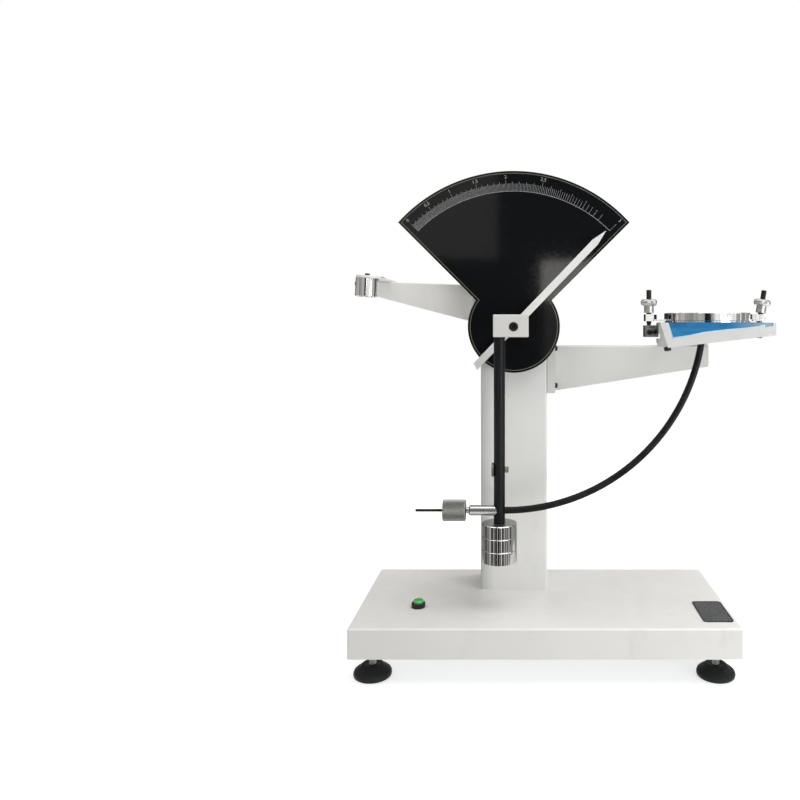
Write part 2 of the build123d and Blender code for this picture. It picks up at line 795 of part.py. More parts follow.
# Release magnet under a plate that reaches forward from the end of the left arm
arm_top_slope = (left_arm_top - left_arm_root_top) / (left_root - left_arm_end)
magnet_plate_end = magnet_x - magnet_d / 2 - magnet_plate_over + magnet_plate_w
arm_top_under_end = left_arm_top - arm_top_slope * (magnet_plate_end - left_arm_end)
magnet_top = arm_top_under_end + (magnet_plate_end - magnet_x) * tan(radians(magnet_tilt)) + fit
magnet_centre = (pivot_x + magnet_x, swing_y, pivot_z + magnet_top)
tilt = radians(magnet_tilt)
magnet_h = magnet_x * sin(tilt) + magnet_top * cos(tilt) + armature_face - hold_gap
magnet_plane = Plane(
    origin=magnet_centre,
    x_dir=(cos(tilt), 0, -sin(tilt)),
    z_dir=(sin(tilt), 0, cos(tilt)),
)
magnet_plate_left = -magnet_d / 2 - magnet_plate_over
magnet_plate_front = -magnet_d / 2 - magnet_plate_over
magnet_plate_back = arm_front + arm_width - 6
magnet_screw_d = 6.0
magnet_screw_head_d = 8.0
magnet_screw_head_h = 3.6

with BuildPart() as magnet_plate:
    with BuildSketch(magnet_plane):
        with Locations(
            (magnet_plate_left + magnet_plate_w / 2, (magnet_plate_front + magnet_plate_back) / 2)
        ):
            RectangleRounded(magnet_plate_w, magnet_plate_back - magnet_plate_front, 3)
        Circle(magnet_screw_d / 2 + 0.1, mode=Mode.SUBTRACT)
    extrude(amount=magnet_plate_t)
put(magnet_plate.part, "magnet_plate")

with BuildPart() as magnet_shell:
    with BuildSketch(magnet_plane):
        Circle(magnet_d / 2)
        Circle(magnet_screw_d / 2 + 0.1, mode=Mode.SUBTRACT)
    extrude(amount=-magnet_h)
    chamfer(magnet_shell.edges().filter_by(GeomType.CIRCLE).group_by(SortBy.RADIUS)[-1], 0.6)
    with BuildSketch(magnet_plane.offset(-magnet_h)):
        Circle(magnet_d / 2 - magnet_wall)
    extrude(amount=magnet_h - magnet_wall, mode=Mode.SUBTRACT)
put(magnet_shell.part, "magnet_shell")

with BuildPart() as magnet_coil:
    with BuildSketch(magnet_plane.offset(-magnet_h + 0.3)):
        Circle(magnet_d / 2 - magnet_wall - 0.02)
        Circle(magnet_core_d / 2 + 0.02, mode=Mode.SUBTRACT)
    extrude(amount=magnet_h - magnet_wall - 0.32)
put(magnet_coil.part, "magnet_coil")

with BuildPart() as magnet_core:
    with BuildSketch(magnet_plane.offset(-magnet_h)):
        Circle(magnet_core_d / 2)
    extrude(amount=magnet_h - magnet_wall)
put(magnet_core.part, "magnet_core")

with BuildPart() as magnet_screws:
    with BuildSketch(magnet_plane.offset(magnet_plate_t)):
        with Locations((0, 0), (magnet_arm_screw, arm_front + 11), (magnet_arm_screw, arm_front + 30)):
            Circle(magnet_screw_head_d / 2)
    extrude(amount=magnet_screw_head_h)
    with BuildSketch(magnet_plane.offset(magnet_plate_t)):
        Circle(magnet_screw_d / 2)
    extrude(amount=-magnet_plate_t - magnet_wall)
put(magnet_screws.part, "magnet_screws")

# Specimen table: a folded tray, deep beside the column and shallow at its far end
ring_bottom = table_top + film_t + seat_ring_h
slant = table_left_lean / table_left_drop
opening_d = ring_id + 2.0


table_outline = [
    (table_left, table_top),
    (table_right, table_top),
    (table_right, table_top - table_right_drop),
    (table_left + table_left_lean, table_top - table_left_drop),
]
film_left_drop = table_left_drop - table_rim
film_left_x = table_left + table_left_band
film_right_x = table_right - 4.0
film_outline = [
    (film_left_x, table_top),
    (film_right_x, table_top),
    (film_right_x, table_top - table_right_drop + table_rim),
    (film_left_x + slant * film_left_drop, table_top - film_left_drop),
]

lug_t = 4.0
eye_t = 6.0
eye_d = 12.0
pin_d = 5.0
lug_top = 2.0
lug_bottom = -14.5
lug_gap = eye_t + 2 * seat_gap
notch_w = lug_gap + 2 * lug_t + 2 * seat_gap
end_round = 6.0

# The left end of the tray is cut away behind its front panel, slanting to the back
table_left_mid = 209.5
table_left_back = 232.0
table_cut = [
    (table_left - 2 * end_round, table_front + table_sheet),
    (table_left, table_front + table_sheet),
    (notch_left_x, -notch_w),
    (notch_left_x, notch_w / 2 + table_sheet),
    (table_left_mid, notch_w / 2 + table_sheet),
    (table_left_back, table_back + 2 * rim_proud),
    (table_left - 2 * end_round, table_back + 2 * rim_proud),
]

with BuildPart() as specimen_table:
    with BuildSketch(facing_front(table_front)):
        with BuildLine():
            Polyline(*table_outline, close=True)
        make_face()
    extrude(amount=-(table_back - table_front))
    fillet(specimen_table.edges().filter_by(Axis.Y).sort_by(Axis.X)[-2:], end_round)
    with BuildSketch(facing_front(table_front + table_sheet)):
        with BuildLine():
            Polyline(
                (table_left + table_sheet, table_top - table_sheet),
                (table_right - table_sheet, table_top - table_sheet),
                (table_right - table_sheet, table_top - 2 * table_left_drop),
                (table_left + slant * 2 * table_left_drop + table_sheet, table_top - 2 * table_left_drop),
                close=True,
            )
        make_face()
    extrude(amount=-(table_back - table_front - 2 * table_sheet), mode=Mode.SUBTRACT)
    for front in (table_front, table_back + rim_proud):
        with BuildSketch(facing_front(front)):
            with BuildLine():
                Polyline(*table_outline, close=True)
            make_face()
            with BuildLine():
                Polyline(*film_outline, close=True)
            make_face(mode=Mode.SUBTRACT)
        extrude(amount=rim_proud)
    with BuildSketch(facing_up(table_top)):
        with Locations(((table_left + notch_left_x) / 2 - 10, 0)):
            Rectangle(notch_left_x - table_left + 20, notch_w)
        with Locations(((table_right + notch_right_x) / 2 + 10, 0)):
            Rectangle(table_right - notch_right_x + 20, notch_w)
    extrude(amount=-2 * table_left_drop, mode=Mode.SUBTRACT)
    with BuildSketch(facing_up(table_top)):
        with Locations((notch_left_x + table_sheet / 2, 0), (notch_right_x - table_sheet / 2, 0)):
            Rectangle(table_sheet, notch_w + 2 * table_sheet)
        with Locations(((table_right + notch_right_x) / 2 - table_sheet, 0)):
            with GridLocations(1, notch_w + table_sheet, 1, 2):
                Rectangle(table_right - notch_right_x, table_sheet)
    extrude(amount=-table_right_drop + 1)
    with BuildSketch(facing_up(table_top, ring_x)):
        Circle(opening_d / 2)
    extrude(amount=-table_sheet, mode=Mode.SUBTRACT)
    with BuildSketch(facing_up(table_top, pedestal_x, arm_middle)):
        with GridLocations(pedestal_w - 2 * table_screw_in, pedestal_d - 2 * table_screw_in, 2, 2):
            Circle(table_screw_d / 2 + 0.2)
    extrude(amount=-table_sheet, mode=Mode.SUBTRACT)
    with BuildSketch(facing_up(table_top)):
        with BuildLine():
            Polyline(*table_cut, close=True)
        make_face()
    extrude(amount=-2 * table_left_drop, mode=Mode.SUBTRACT)
put(specimen_table.part, "specimen_table")

# Blue protective film left on the top and on the front of the table
with BuildPart() as table_film:
    with BuildSketch(facing_up(table_top)):
        with Locations(((notch_left_x + notch_right_x) / 2, (table_front + table_back) / 2)):
            Rectangle(notch_right_x - notch_left_x - 2, table_back - table_front - 1)
        with Locations((ring_x, 0)):
            Circle(opening_d / 2, mode=Mode.SUBTRACT)
        with Locations((pedestal_x, arm_middle)):
            with GridLocations(pedestal_w - 2 * table_screw_in, pedestal_d - 2 * table_screw_in, 2, 2):
                Circle(table_screw_d + 0.4, mode=Mode.SUBTRACT)
        with BuildLine():
            Polyline(*table_cut, close=True)
        make_face(mode=Mode.SUBTRACT)
    extrude(amount=film_t)
    with BuildSketch(facing_front(table_front)):
        with BuildLine():
            Polyline(*film_outline, close=True)
        make_face()
    extrude(amount=film_t)
put(table_film.part, "table_film")

with BuildPart() as table_screws:
    with BuildSketch(facing_up(table_top, pedestal_x, arm_middle)):
        with GridLocations(pedestal_w - 2 * table_screw_in, pedestal_d - 2 * table_screw_in, 2, 2):
            Circle(table_screw_d * 0.95)
    extrude(amount=2.2)
    with BuildSketch(facing_up(table_top, pedestal_x, arm_middle)):
        with GridLocations(pedestal_w - 2 * table_screw_in, pedestal_d - 2 * table_screw_in, 2, 2):
            Circle(table_screw_d / 2)
    extrude(amount=-table_sheet - pedestal_wall)
put(table_screws.part, "table_screws")

# Lower seat ring and upper clamp ring with notched ears
with BuildPart() as seat_ring:
    with BuildSketch(facing_up(table_top + film_t, ring_x)):
        Circle(ring_od / 2 - 1)
        Circle(ring_id / 2, mode=Mode.SUBTRACT)
    extrude(amount=seat_ring_h)
put(seat_ring.part, "seat_ring")

ear_t = 2.5
ear_boss_h = ring_h
ear_gap = 0.4
ear_right_x = bolt_right_x + tan(radians(bolt_lean)) * (ring_bottom + ear_boss_h - bolt_pin_z)
with BuildPart() as clamp_ring:
    with BuildSketch(facing_up(ring_bottom, ring_x)):
        Circle(ring_od / 2)
    extrude(amount=ring_h)
    chamfer(clamp_ring.edges().filter_by(GeomType.CIRCLE), 0.6)
    with BuildSketch(facing_up(ring_bottom)):
        with Locations(((bolt_left_x + ring_x) / 2, 0)):
            Rectangle(ring_x - bolt_left_x, ear_boss_w + 4)
        with Locations(((ear_right_x + ring_x) / 2, 0)):
            Rectangle(ear_right_x - ring_x, ear_boss_w + 4)
    extrude(amount=ear_t)
    with BuildSketch(facing_up(ring_bottom)):
        with Locations((bolt_left_x + ear_boss_w / 2, 0), (ear_right_x - ear_boss_w / 2, 0)):
            Rectangle(ear_boss_w, ear_boss_w + 4)
    extrude(amount=ear_boss_h)
    with BuildSketch(facing_up(ring_bottom)):
        with Locations((bolt_left_x, 0), (bolt_right_x, 0)):
            Circle(bolt_d / 2 + ear_gap)
        with Locations((bolt_left_x - bolt_d, 0), (bolt_right_x + bolt_d, 0)):
            Rectangle(2 * bolt_d, bolt_d + 2 * ear_gap)
    extrude(amount=ear_boss_h, mode=Mode.SUBTRACT)
    with BuildSketch(facing_up(ring_bottom, ring_x)):
        Circle(ring_id / 2)
    extrude(amount=ring_h, mode=Mode.SUBTRACT)
put(clamp_ring.part, "clamp_ring")

# Brackets, pins, swing bolts and thumb nuts that pull the ring down
nut_bottom = ring_bottom + ear_boss_h + seat_gap
nut_neck_h = 10.1
nut_head_h = 9.2


stem_back = 3.4
outer_reach = 7.0
with BuildPart() as lug_brackets:
    for bolt_x, face, outward in ((bolt_left_x, notch_left_x, -1), (bolt_right_x, notch_right_x, 1)):
        tip = bolt_x + outward * outer_reach
        with BuildSketch(facing_front(-lug_gap / 2 - lug_t)):
            with Locations(((tip + face) / 2, (lug_top + lug_bottom) / 2)):
                Rectangle(abs(tip - face), lug_top - lug_bottom)
        extrude(amount=-(lug_gap + 2 * lug_t))
        with BuildSketch(facing_front(-lug_gap / 2)):
            with Locations(((tip + face) / 2 + outward * stem_back, (lug_top + lug_bottom) / 2)):
                Rectangle(abs(tip - face), 2 * (lug_top - lug_bottom))
        extrude(amount=-lug_gap, mode=Mode.SUBTRACT)
        with BuildSketch(facing_front(-notch_w, bolt_x, bolt_pin_z)):
            Circle(pin_d / 2)
        extrude(amount=-2 * notch_w, mode=Mode.SUBTRACT)
put(lug_brackets.part, "lug_brackets")

pin_span = lug_gap + 2 * lug_t
with BuildPart() as hinge_pins:
    for bolt_x in (bolt_left_x, bolt_right_x):
        with BuildSketch(facing_front(-pin_span / 2, bolt_x, bolt_pin_z)):
            Circle(pin_d / 2 - running_gap)
        extrude(amount=-pin_span)
put(hinge_pins.part, "hinge_pins")


shank_start = sqrt(outer_reach ** 2 + (lug_top - bolt_pin_z) ** 2) + 0.6


def swing_bolt(bolt_x, lean):
    """An eye bolt on the pin, with a plain shank."""
    turn = radians(lean)
    stem = Plane(
        origin=(pivot_x + bolt_x, swing_y, pivot_z + bolt_pin_z),
        x_dir=(cos(turn), 0, -sin(turn)),
        z_dir=(sin(turn), 0, cos(turn)),
    )
    with BuildPart() as bolt:
        with BuildSketch(facing_front(-eye_t / 2, bolt_x, bolt_pin_z)):
            Circle(eye_d / 2)
        extrude(amount=-eye_t)
        with BuildSketch(stem):
            Circle(bolt_d / 2 - 0.6)
        extrude(amount=shank_start + 1)
        with BuildSketch(stem.offset(shank_start)):
            Circle(bolt_d / 2)
        extrude(amount=bolt_top - bolt_pin_z - shank_start)
        chamfer(bolt.edges().filter_by(GeomType.CIRCLE).sort_by(Axis.Z)[-1], 0.7)
        with BuildSketch(facing_front(-20, bolt_x, bolt_pin_z)):
            Circle(pin_d / 2 + running_gap / 2)
        extrude(amount=-40, mode=Mode.SUBTRACT)
    return bolt.part


def thumb_nut(bolt_x, lean):
    """A knurled head on a round neck, bored for the bolt."""
    turn = radians(lean)
    stem = Plane(
        origin=(pivot_x + bolt_x, swing_y, pivot_z + bolt_pin_z),
        x_dir=(cos(turn), 0, -sin(turn)),
        z_dir=(sin(turn), 0, cos(turn)),
    )
    start = (nut_bottom - bolt_pin_z) / cos(turn)
    with BuildPart() as nut:
        with BuildSketch(stem.offset(start)):
            Circle(nut_neck_d / 2)
        extrude(amount=nut_neck_h)
        with BuildSketch(stem.offset(start + nut_neck_h)):
            Circle(nut_d / 2)
        extrude(amount=nut_head_h)
        chamfer(nut.edges().filter_by(GeomType.CIRCLE).group_by(SortBy.RADIUS)[-1], 1)
        with BuildSketch(stem.offset(start)):
            Circle(bolt_d / 2 + running_gap)
        extrude(amount=nut_neck_h + nut_head_h, mode=Mode.SUBTRACT)
    return nut.part


put(swing_bolt(bolt_left_x, 0), "left_swing_bolt")
put(swing_bolt(bolt_right_x, bolt_lean), "right_swing_bolt")
put(thumb_nut(bolt_left_x, 0), "left_thumb_nut")
put(thumb_nut(bolt_right_x, bolt_lean), "right_thumb_nut")

# Levelling feet: a moulded bell on a steel stud, with a lock nut and a nut inside
stud_top_z = inner_floor_z + 16.0
foot_rim_h = 5.5
foot_shoulder = [(foot_d / 2 - 2.0, 8.0), (foot_d / 2 - 8.5, 12.5)]
foot_names = ("front_left", "back_left", "front_right", "back_right")
for spot, name in zip(foot_spots, foot_names):
    foot_plane = Plane(origin=(spot[0], spot[1], 0))
    side_plane = Plane(origin=(spot[0], spot[1], 0), x_dir=(1, 0, 0), z_dir=(0, -1, 0))
    with BuildPart() as foot:
        with BuildSketch(side_plane):
            with BuildLine():
                Polyline((0, 0), (foot_d / 2 - 1.5, 0), (foot_d / 2, 1.5), (foot_d / 2, foot_rim_h))
                Polyline((foot_d / 2, foot_rim_h), *foot_shoulder, (foot_top_d / 2, foot_bell_h))
                Polyline((foot_top_d / 2, foot_bell_h), (0, foot_bell_h), (0, 0))
            make_face()
        revolve(axis=Axis((spot[0], spot[1], 0), (0, 0, 1)))
        with BuildSketch(foot_plane.offset(foot_rim_h)):
            Circle(foot_stud_d / 2 + fit)
        extrude(amount=foot_bell_h, mode=Mode.SUBTRACT)
        with BuildSketch(foot_plane.offset(foot_rim_h)):
            Circle(foot_stud_d / 2)
        extrude(amount=stud_top_z - foot_rim_h)
    put(foot.part, "foot_" + name)

nut_across = 8.5
nut_h = 8.0
lock_nut_h = 6.0
with BuildPart() as foot_nuts:
    with BuildSketch(Plane.XY.offset(inner_floor_z)):
        with Locations(*foot_spots):
            RegularPolygon(nut_across, 6, major_radius=False)
            Circle(foot_stud_d / 2 + running_gap, mode=Mode.SUBTRACT)
    extrude(amount=nut_h)
    with BuildSketch(Plane.XY.offset(base_bottom_z)):
        with Locations(*foot_spots):
            RegularPolygon(nut_across, 6, major_radius=False)
            Circle(foot_stud_d / 2 + running_gap, mode=Mode.SUBTRACT)
    extrude(amount=-lock_nut_h)
put(foot_nuts.part, "foot_nuts")

# Release button: collar, body under the panel and a sprung cap
button_plane = Plane(origin=(pivot_x + button_x, swing_y, base_top_z))
body_depth = 20.0
with BuildPart() as button_body:
    with BuildSketch(button_plane):
        Circle(button_d / 2)
    extrude(amount=button_h)
    chamfer(button_body.faces().sort_by(Axis.Z)[-1].edges(), 1)
    with BuildSketch(button_plane):
        Circle(button_hole_d / 2 - 0.1)
    extrude(amount=-body_depth)
    with BuildSketch(button_plane):
        Circle(cap_d / 2 + seat_gap)
    extrude(amount=button_h, mode=Mode.SUBTRACT)
put(button_body.part, "button_body")

with BuildPart() as button_cap:
    with BuildSketch(button_plane.offset(button_travel + seat_gap)):
        Circle(cap_d / 2)
    extrude(amount=button_h + cap_proud - button_travel - seat_gap)
    chamfer(button_cap.faces().sort_by(Axis.Z)[-1].edges(), cap_round)
put(button_cap.part, "button_cap")

# Bare plate near the right front corner
with BuildPart() as blank_plate:
    with BuildSketch(Plane.XY.offset(base_top_z)):
        with Locations((label_centre_x, swing_y + label_y)):
            RectangleRounded(label_w, label_l, 5)
    extrude(amount=label_t)
put(blank_plate.part, "blank_plate")

# Power inlet in the back wall and the supply inside the base
with BuildPart() as power_inlet:
    with BuildSketch(Plane.XZ.offset(-base_d / 2)):
        with Locations((inlet_x, inlet_z)):
            RectangleRounded(inlet_w + 8, inlet_h + 6, 2)
    extrude(amount=-2.5)
    with BuildSketch(Plane.XZ.offset(-base_d / 2)):
        with Locations((inlet_x, inlet_z)):
            Rectangle(inlet_w, inlet_h)
    extrude(amount=22)
    with BuildSketch(Plane.XZ.offset(-base_d / 2 - 2.5)):
        with Locations((inlet_x, inlet_z)):
            RectangleRounded(inlet_w - 3.5, inlet_h - 3.5, 2)
    extrude(amount=18, mode=Mode.SUBTRACT)
    with BuildSketch(Plane.XZ.offset(-base_d / 2 + 15.5)):
        with Locations((inlet_x - 7, inlet_z - 2), (inlet_x, inlet_z + 2), (inlet_x + 7, inlet_z - 2)):
            Rectangle(2, 5)
    extrude(amount=-12)
put(power_inlet.part, "power_inlet")

supply_h = 24.0
with BuildPart() as power_supply:
    with BuildSketch(Plane.XY.offset(inner_floor_z)):
        with Locations((inlet_x - 10, 20)):
            RectangleRounded(90, 60, 3)
    extrude(amount=supply_h)
    chamfer(power_supply.faces().sort_by(Axis.Z)[-1].edges(), 1)
put(power_supply.part, "power_supply")
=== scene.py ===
import bmesh
import bpy
import math
from mathutils import Matrix, Vector


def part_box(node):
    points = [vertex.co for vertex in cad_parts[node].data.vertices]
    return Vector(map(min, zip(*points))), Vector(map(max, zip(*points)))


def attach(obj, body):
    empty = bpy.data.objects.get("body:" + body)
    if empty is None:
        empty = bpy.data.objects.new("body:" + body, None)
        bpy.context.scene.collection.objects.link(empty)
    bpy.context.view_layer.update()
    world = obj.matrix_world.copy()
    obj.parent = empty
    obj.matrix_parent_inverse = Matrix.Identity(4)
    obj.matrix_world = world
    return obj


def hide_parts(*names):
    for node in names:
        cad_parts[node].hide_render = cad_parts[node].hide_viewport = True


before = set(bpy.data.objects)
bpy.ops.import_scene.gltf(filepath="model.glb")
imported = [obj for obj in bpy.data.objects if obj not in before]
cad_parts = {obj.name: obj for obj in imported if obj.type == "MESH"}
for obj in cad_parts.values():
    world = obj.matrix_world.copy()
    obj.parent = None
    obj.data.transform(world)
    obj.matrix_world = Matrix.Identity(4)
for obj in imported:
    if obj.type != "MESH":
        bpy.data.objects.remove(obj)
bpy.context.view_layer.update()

# Camera
# The photograph is taken square on to the front at the height of the pivot, and
# cropped off centre, so the camera stays level and its lens is shifted.
picture_px = 800
focal_px = 730
principal_px = (520, 326)
sensor_mm = 36
pivot = Vector((-0.042, -0.043, 0.474))
camera_from_pivot = Vector((0.0091, -1.032, 0.001))
camera = bpy.data.objects.new("camera", bpy.data.cameras.new("camera"))
bpy.context.scene.collection.objects.link(camera)
camera.location = pivot + camera_from_pivot
camera.rotation_euler = (math.radians(90), 0, 0)
camera.data.sensor_width = sensor_mm
camera.data.lens = focal_px / picture_px * sensor_mm
camera.data.shift_x = (picture_px / 2 - principal_px[0]) / picture_px
camera.data.shift_y = (principal_px[1] - picture_px / 2) / picture_px
camera.data.clip_start = 0.05
bpy.context.scene.camera = camera
bpy.context.scene.view_settings.view_transform = "Standard"

# Room
# White walls that light the object softly, a pale floor that keeps its shadow,
# and grey panels round the room, which show only in bright metal and gloss.
room_light = 0.5
floor_lift = 0.62
floor_size = 9.0
far_panels = (
    (-180, -134, 0.04), (-134, -104, 0.3), (-104, -72, 0.5), (-72, -42, 0.34), (-42, -15, 0.46),
    (-15, 2, 0.015), (2, 9, 0.4), (49, 52, 0.2), (54, 55.5, 0.1), (70, 84, 0.4), (88, 104, 0.3),
    (108, 132, 0.36), (138, 180, 0.12),
)
high_panels = ((-15, -3, 0.5), (-3, 12, 0.03))
window_panels = ((1.6, 7.6, 3.6),)
low_panels = (
    (-180, -104, 0.26), (-104, -84, 0.1), (-84, -66, 0.24), (-66, -52, 0.45), (-52, -38, 0.05),
    (-38, -31, 0.4), (-31, -24, 0.16), (-24, -12, 0.03), (-12, -9, 0.8), (-9, 3, 0.03), (3, 6, 0.5),
    (6, 12, 0.08), (12, 17, 0.9), (17, 30, 0.04), (30, 35, 0.6), (35, 41, 0.08), (41, 50, 0.45),
    (50, 58, 0.16), (58, 70, 0.5), (70, 82, 0.1), (82, 132, 0.34), (132, 180, 0.14),
)


def join(tree, source, socket, target, entry):
    tree.links.new(source.outputs[socket], target.inputs[entry])


def shown_directly(tree):
    """1 where a ray shows the surround itself, 0 where it lights the object."""
    path = tree.nodes.new("ShaderNodeLightPath")
    result = path.outputs["Is Camera Ray"]
    for kind in ("Is Glossy Ray", "Is Transmission Ray"):
        either = tree.nodes.new("ShaderNodeMath")
        either.operation = "MAXIMUM"
        tree.links.new(result, either.inputs[0])
        join(tree, path, kind, either, 1)
        result = either.outputs[0]
    return result


def keep_mesh(bm, name, surface):
    """Link a mesh that was made in metres, with one finish."""
    mesh = bpy.data.meshes.new(name)
    bm.to_mesh(mesh)
    bm.free()
    piece = bpy.data.objects.new(name, mesh)
    bpy.context.scene.collection.objects.link(piece)
    mesh.materials.append(surface)
    return piece


world = bpy.data.worlds.new("room")
bpy.context.scene.world = world
world.use_nodes = True
world.node_tree.nodes.clear()
world_out = world.node_tree.nodes.new("ShaderNodeOutputWorld")
world_mix = world.node_tree.nodes.new("ShaderNodeMixShader")
world.node_tree.links.new(shown_directly(world.node_tree), world_mix.inputs[0])
for entry, strength in ((1, room_light), (2, 1.0)):
    white = world.node_tree.nodes.new("ShaderNodeBackground")
    white.inputs["Color"].default_value = (1, 1, 1, 1)
    white.inputs["Strength"].default_value = strength
    join(world.node_tree, white, 0, world_mix, entry)
join(world.node_tree, world_mix, 0, world_out, 0)

floor_paint = bpy.data.materials.new("pale_floor")
floor_paint.use_nodes = True
floor_nodes = floor_paint.node_tree.nodes
floor_nodes["Principled BSDF"].inputs["Base Color"].default_value = (0.64, 0.64, 0.64, 1)
floor_nodes["Principled BSDF"].inputs["Roughness"].default_value = 0.9
floor_glow = floor_nodes.new("ShaderNodeEmission")
floor_sum = floor_nodes.new("ShaderNodeAddShader")
floor_share = floor_nodes.new("ShaderNodeMath")
floor_share.operation = "MULTIPLY"
floor_share.inputs[1].default_value = floor_lift
floor_paint.node_tree.links.new(shown_directly(floor_paint.node_tree), floor_share.inputs[0])
join(floor_paint.node_tree, floor_share, 0, floor_glow, "Strength")
join(floor_paint.node_tree, floor_nodes["Principled BSDF"], 0, floor_sum, 0)
join(floor_paint.node_tree, floor_glow, 0, floor_sum, 1)
join(floor_paint.node_tree, floor_sum, 0, floor_nodes["Material Output"], 0)
floor_bm = bmesh.new()
bmesh.ops.create_grid(floor_bm, x_segments=1, y_segments=1, size=floor_size / 2)
keep_mesh(floor_bm, "floor", floor_paint)

# Each wall of panels: where it stands, its radius, its bottom and top, and its panels
panel_walls = (
    ("far", (0, 0, 0), 3.2, 0.01, 3.0, far_panels),
    ("high", (0, 0, 0), 3.1, 0.86, 3.0, high_panels),
    ("window", (0, 0, 0), 3.0, 0.62, 0.84, window_panels),
    ("low", (-0.062, -0.043, 0), 0.42, 0.002, 0.13, low_panels),
)
for wall, middle, radius, low, high, start, stop, tone in (
    (*row[:5], *panel) for row in panel_walls for panel in row[5]
):
    panel_name = "%s_panel_%d" % (wall, start)
    grey = bpy.data.materials.new(panel_name)
    grey.use_nodes = True
    grey.node_tree.nodes.clear()
    panel_out = grey.node_tree.nodes.new("ShaderNodeOutputMaterial")
    panel_face = grey.node_tree.nodes.new("ShaderNodeEmission")
    panel_face.inputs["Color"].default_value = (tone, tone * 0.98, tone * 0.93, 1)
    join(grey.node_tree, panel_face, 0, panel_out, 0)
    panel_bm = bmesh.new()
    edge_at = Vector(middle) + Matrix.Rotation(math.radians(start), 3, "Z") @ Vector((0, -radius, 0))
    post = [panel_bm.verts.new(edge_at + Vector((0, 0, z))) for z in (low, high)]
    bmesh.ops.spin(
        panel_bm, geom=post + [panel_bm.edges.new(post)], cent=middle, axis=(0, 0, 1),
        angle=math.radians(stop - start), steps=max(2, int(stop - start) // 4),
    )
    panel = keep_mesh(panel_bm, panel_name, grey)
    panel.visible_camera = False
    panel.visible_diffuse = False
    panel.visible_shadow = False
    panel.visible_transmission = False

for name, place, aim, size, watts, tint in (
    ("key_lamp", (0.9, -0.95, 0.24), (0.3, -0.12, 0.05), 0.5, 4.8, (1, 1, 1)),
    ("fill_lamp", (-1.3, -0.9, 2.1), (0, 0, 0.2), 1.6, 11.0, (1, 0.97, 0.91)),
    ("top_lamp", (0.8, -0.1, 2.1), (0.1, 0, 0.1), 2.0, 42.0, (1, 1, 1)),
):
    lamp = bpy.data.objects.new(name, bpy.data.lights.new(name, "AREA"))
    bpy.context.scene.collection.objects.link(lamp)
    lamp.data.size = size
    lamp.data.energy = watts
    lamp.data.color = tint
    lamp.location = place
    lamp.rotation_euler = (Vector(aim) - Vector(place)).to_track_quat("-Z", "Y").to_euler()
    lamp.visible_camera = False

# Base cover
# A box folded from 2 mm steel sheet, open below, with softly rounded bends and
# sprayed with off-white enamel that has dried with a faint orange-peel skin.
base_tones = ((0.68, 0.672, 0.648), (0.715, 0.71, 0.692))
peel_scale = 1100
drift_scale = 6


def new_finish(name, colour, roughness, metallic=0.0):
    """A material with its constant values on the shader's own sockets."""
    surface = bpy.data.materials.new(name)
    surface.use_nodes = True
    shader = surface.node_tree.nodes["Principled BSDF"]
    shader.inputs["Base Color"].default_value = (*colour, 1)
    shader.inputs["Roughness"].default_value = roughness
    shader.inputs["Metallic"].default_value = metallic
    return surface, surface.node_tree, shader


def own_place(tree, stretch=(1, 1, 1), centre=(0, 0, 0)):
    """The piece's own coordinates, stretched and measured from a centre."""
    where = tree.nodes.new("ShaderNodeTexCoord")
    shift = tree.nodes.new("ShaderNodeMapping")
    shift.inputs["Scale"].default_value = stretch
    shift.inputs["Location"].default_value = [-c * s for c, s in zip(centre, stretch)]
    join(tree, where, "Object", shift, "Vector")
    return shift.outputs["Vector"]


def mottle(tree, scale, detail=3.0, stretch=(1, 1, 1)):
    """Even noise over the piece."""
    noise = tree.nodes.new("ShaderNodeTexNoise")
    noise.inputs["Scale"].default_value = scale
    noise.inputs["Detail"].default_value = detail
    tree.links.new(own_place(tree, stretch), noise.inputs["Vector"])
    return noise.outputs["Fac"]


def ranged(tree, source, low, high, start=0.35, stop=0.65):
    """Carry a value over from one range to another."""
    carry = tree.nodes.new("ShaderNodeMapRange")
    for entry, value in (("From Min", start), ("From Max", stop), ("To Min", low), ("To Max", high)):
        carry.inputs[entry].default_value = value
    tree.links.new(source, carry.inputs["Value"])
    return carry.outputs["Result"]


def mixed(tree, share, first, second):
    """Two colours, or outputs that give colours, mixed by a share."""
    mix = tree.nodes.new("ShaderNodeMix")
    mix.data_type = "RGBA"
    for entry, value in ((6, first), (7, second)):
        if isinstance(value, tuple):
            mix.inputs[entry].default_value = (*value, 1)
        else:
            tree.links.new(value, mix.inputs[entry])
    tree.links.new(share, mix.inputs[0])
    return mix.outputs[2]


def relief(tree, shader, height, depth_m, strength=1.0):
    """Raise the surface by a height pattern."""
    bump = tree.nodes.new("ShaderNodeBump")
    bump.inputs["Distance"].default_value = depth_m
    bump.inputs["Strength"].default_value = strength
    tree.links.new(height, bump.inputs["Height"])
    tree.links.new(bump.outputs["Normal"], shader.inputs["Normal"])


def enamel(name, tones):
    """Sprayed enamel: slow drift in tone, small dull smudges and orange peel."""
    surface, tree, shader = new_finish(name, tones[1], 0.4)
    drift = mottle(tree, drift_scale, 4)
    smudge = mottle(tree, 38, 6, (1, 1, 0.5))
    toned = mixed(tree, ranged(tree, drift, 0, 1), tones[0], tones[1])
    soiled = tuple(0.93 * part for part in tones[0])
    soiling = ranged(tree, smudge, 0, 0.55, 0.58, 0.75)
    tree.links.new(mixed(tree, soiling, toned, soiled), shader.inputs["Base Color"])
    tree.links.new(ranged(tree, smudge, 0.34, 0.52), shader.inputs["Roughness"])
    relief(tree, shader, mottle(tree, peel_scale, 2), 0.00003, 0.5)
    return surface


def finish_nodes(surface, *names):
    """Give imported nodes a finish."""
    for name in names:
        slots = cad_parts[name].data.materials
        slots.clear()
        slots.append(surface)


base_enamel = enamel("base_enamel", base_tones)
finish_nodes(base_enamel, "base_cover")

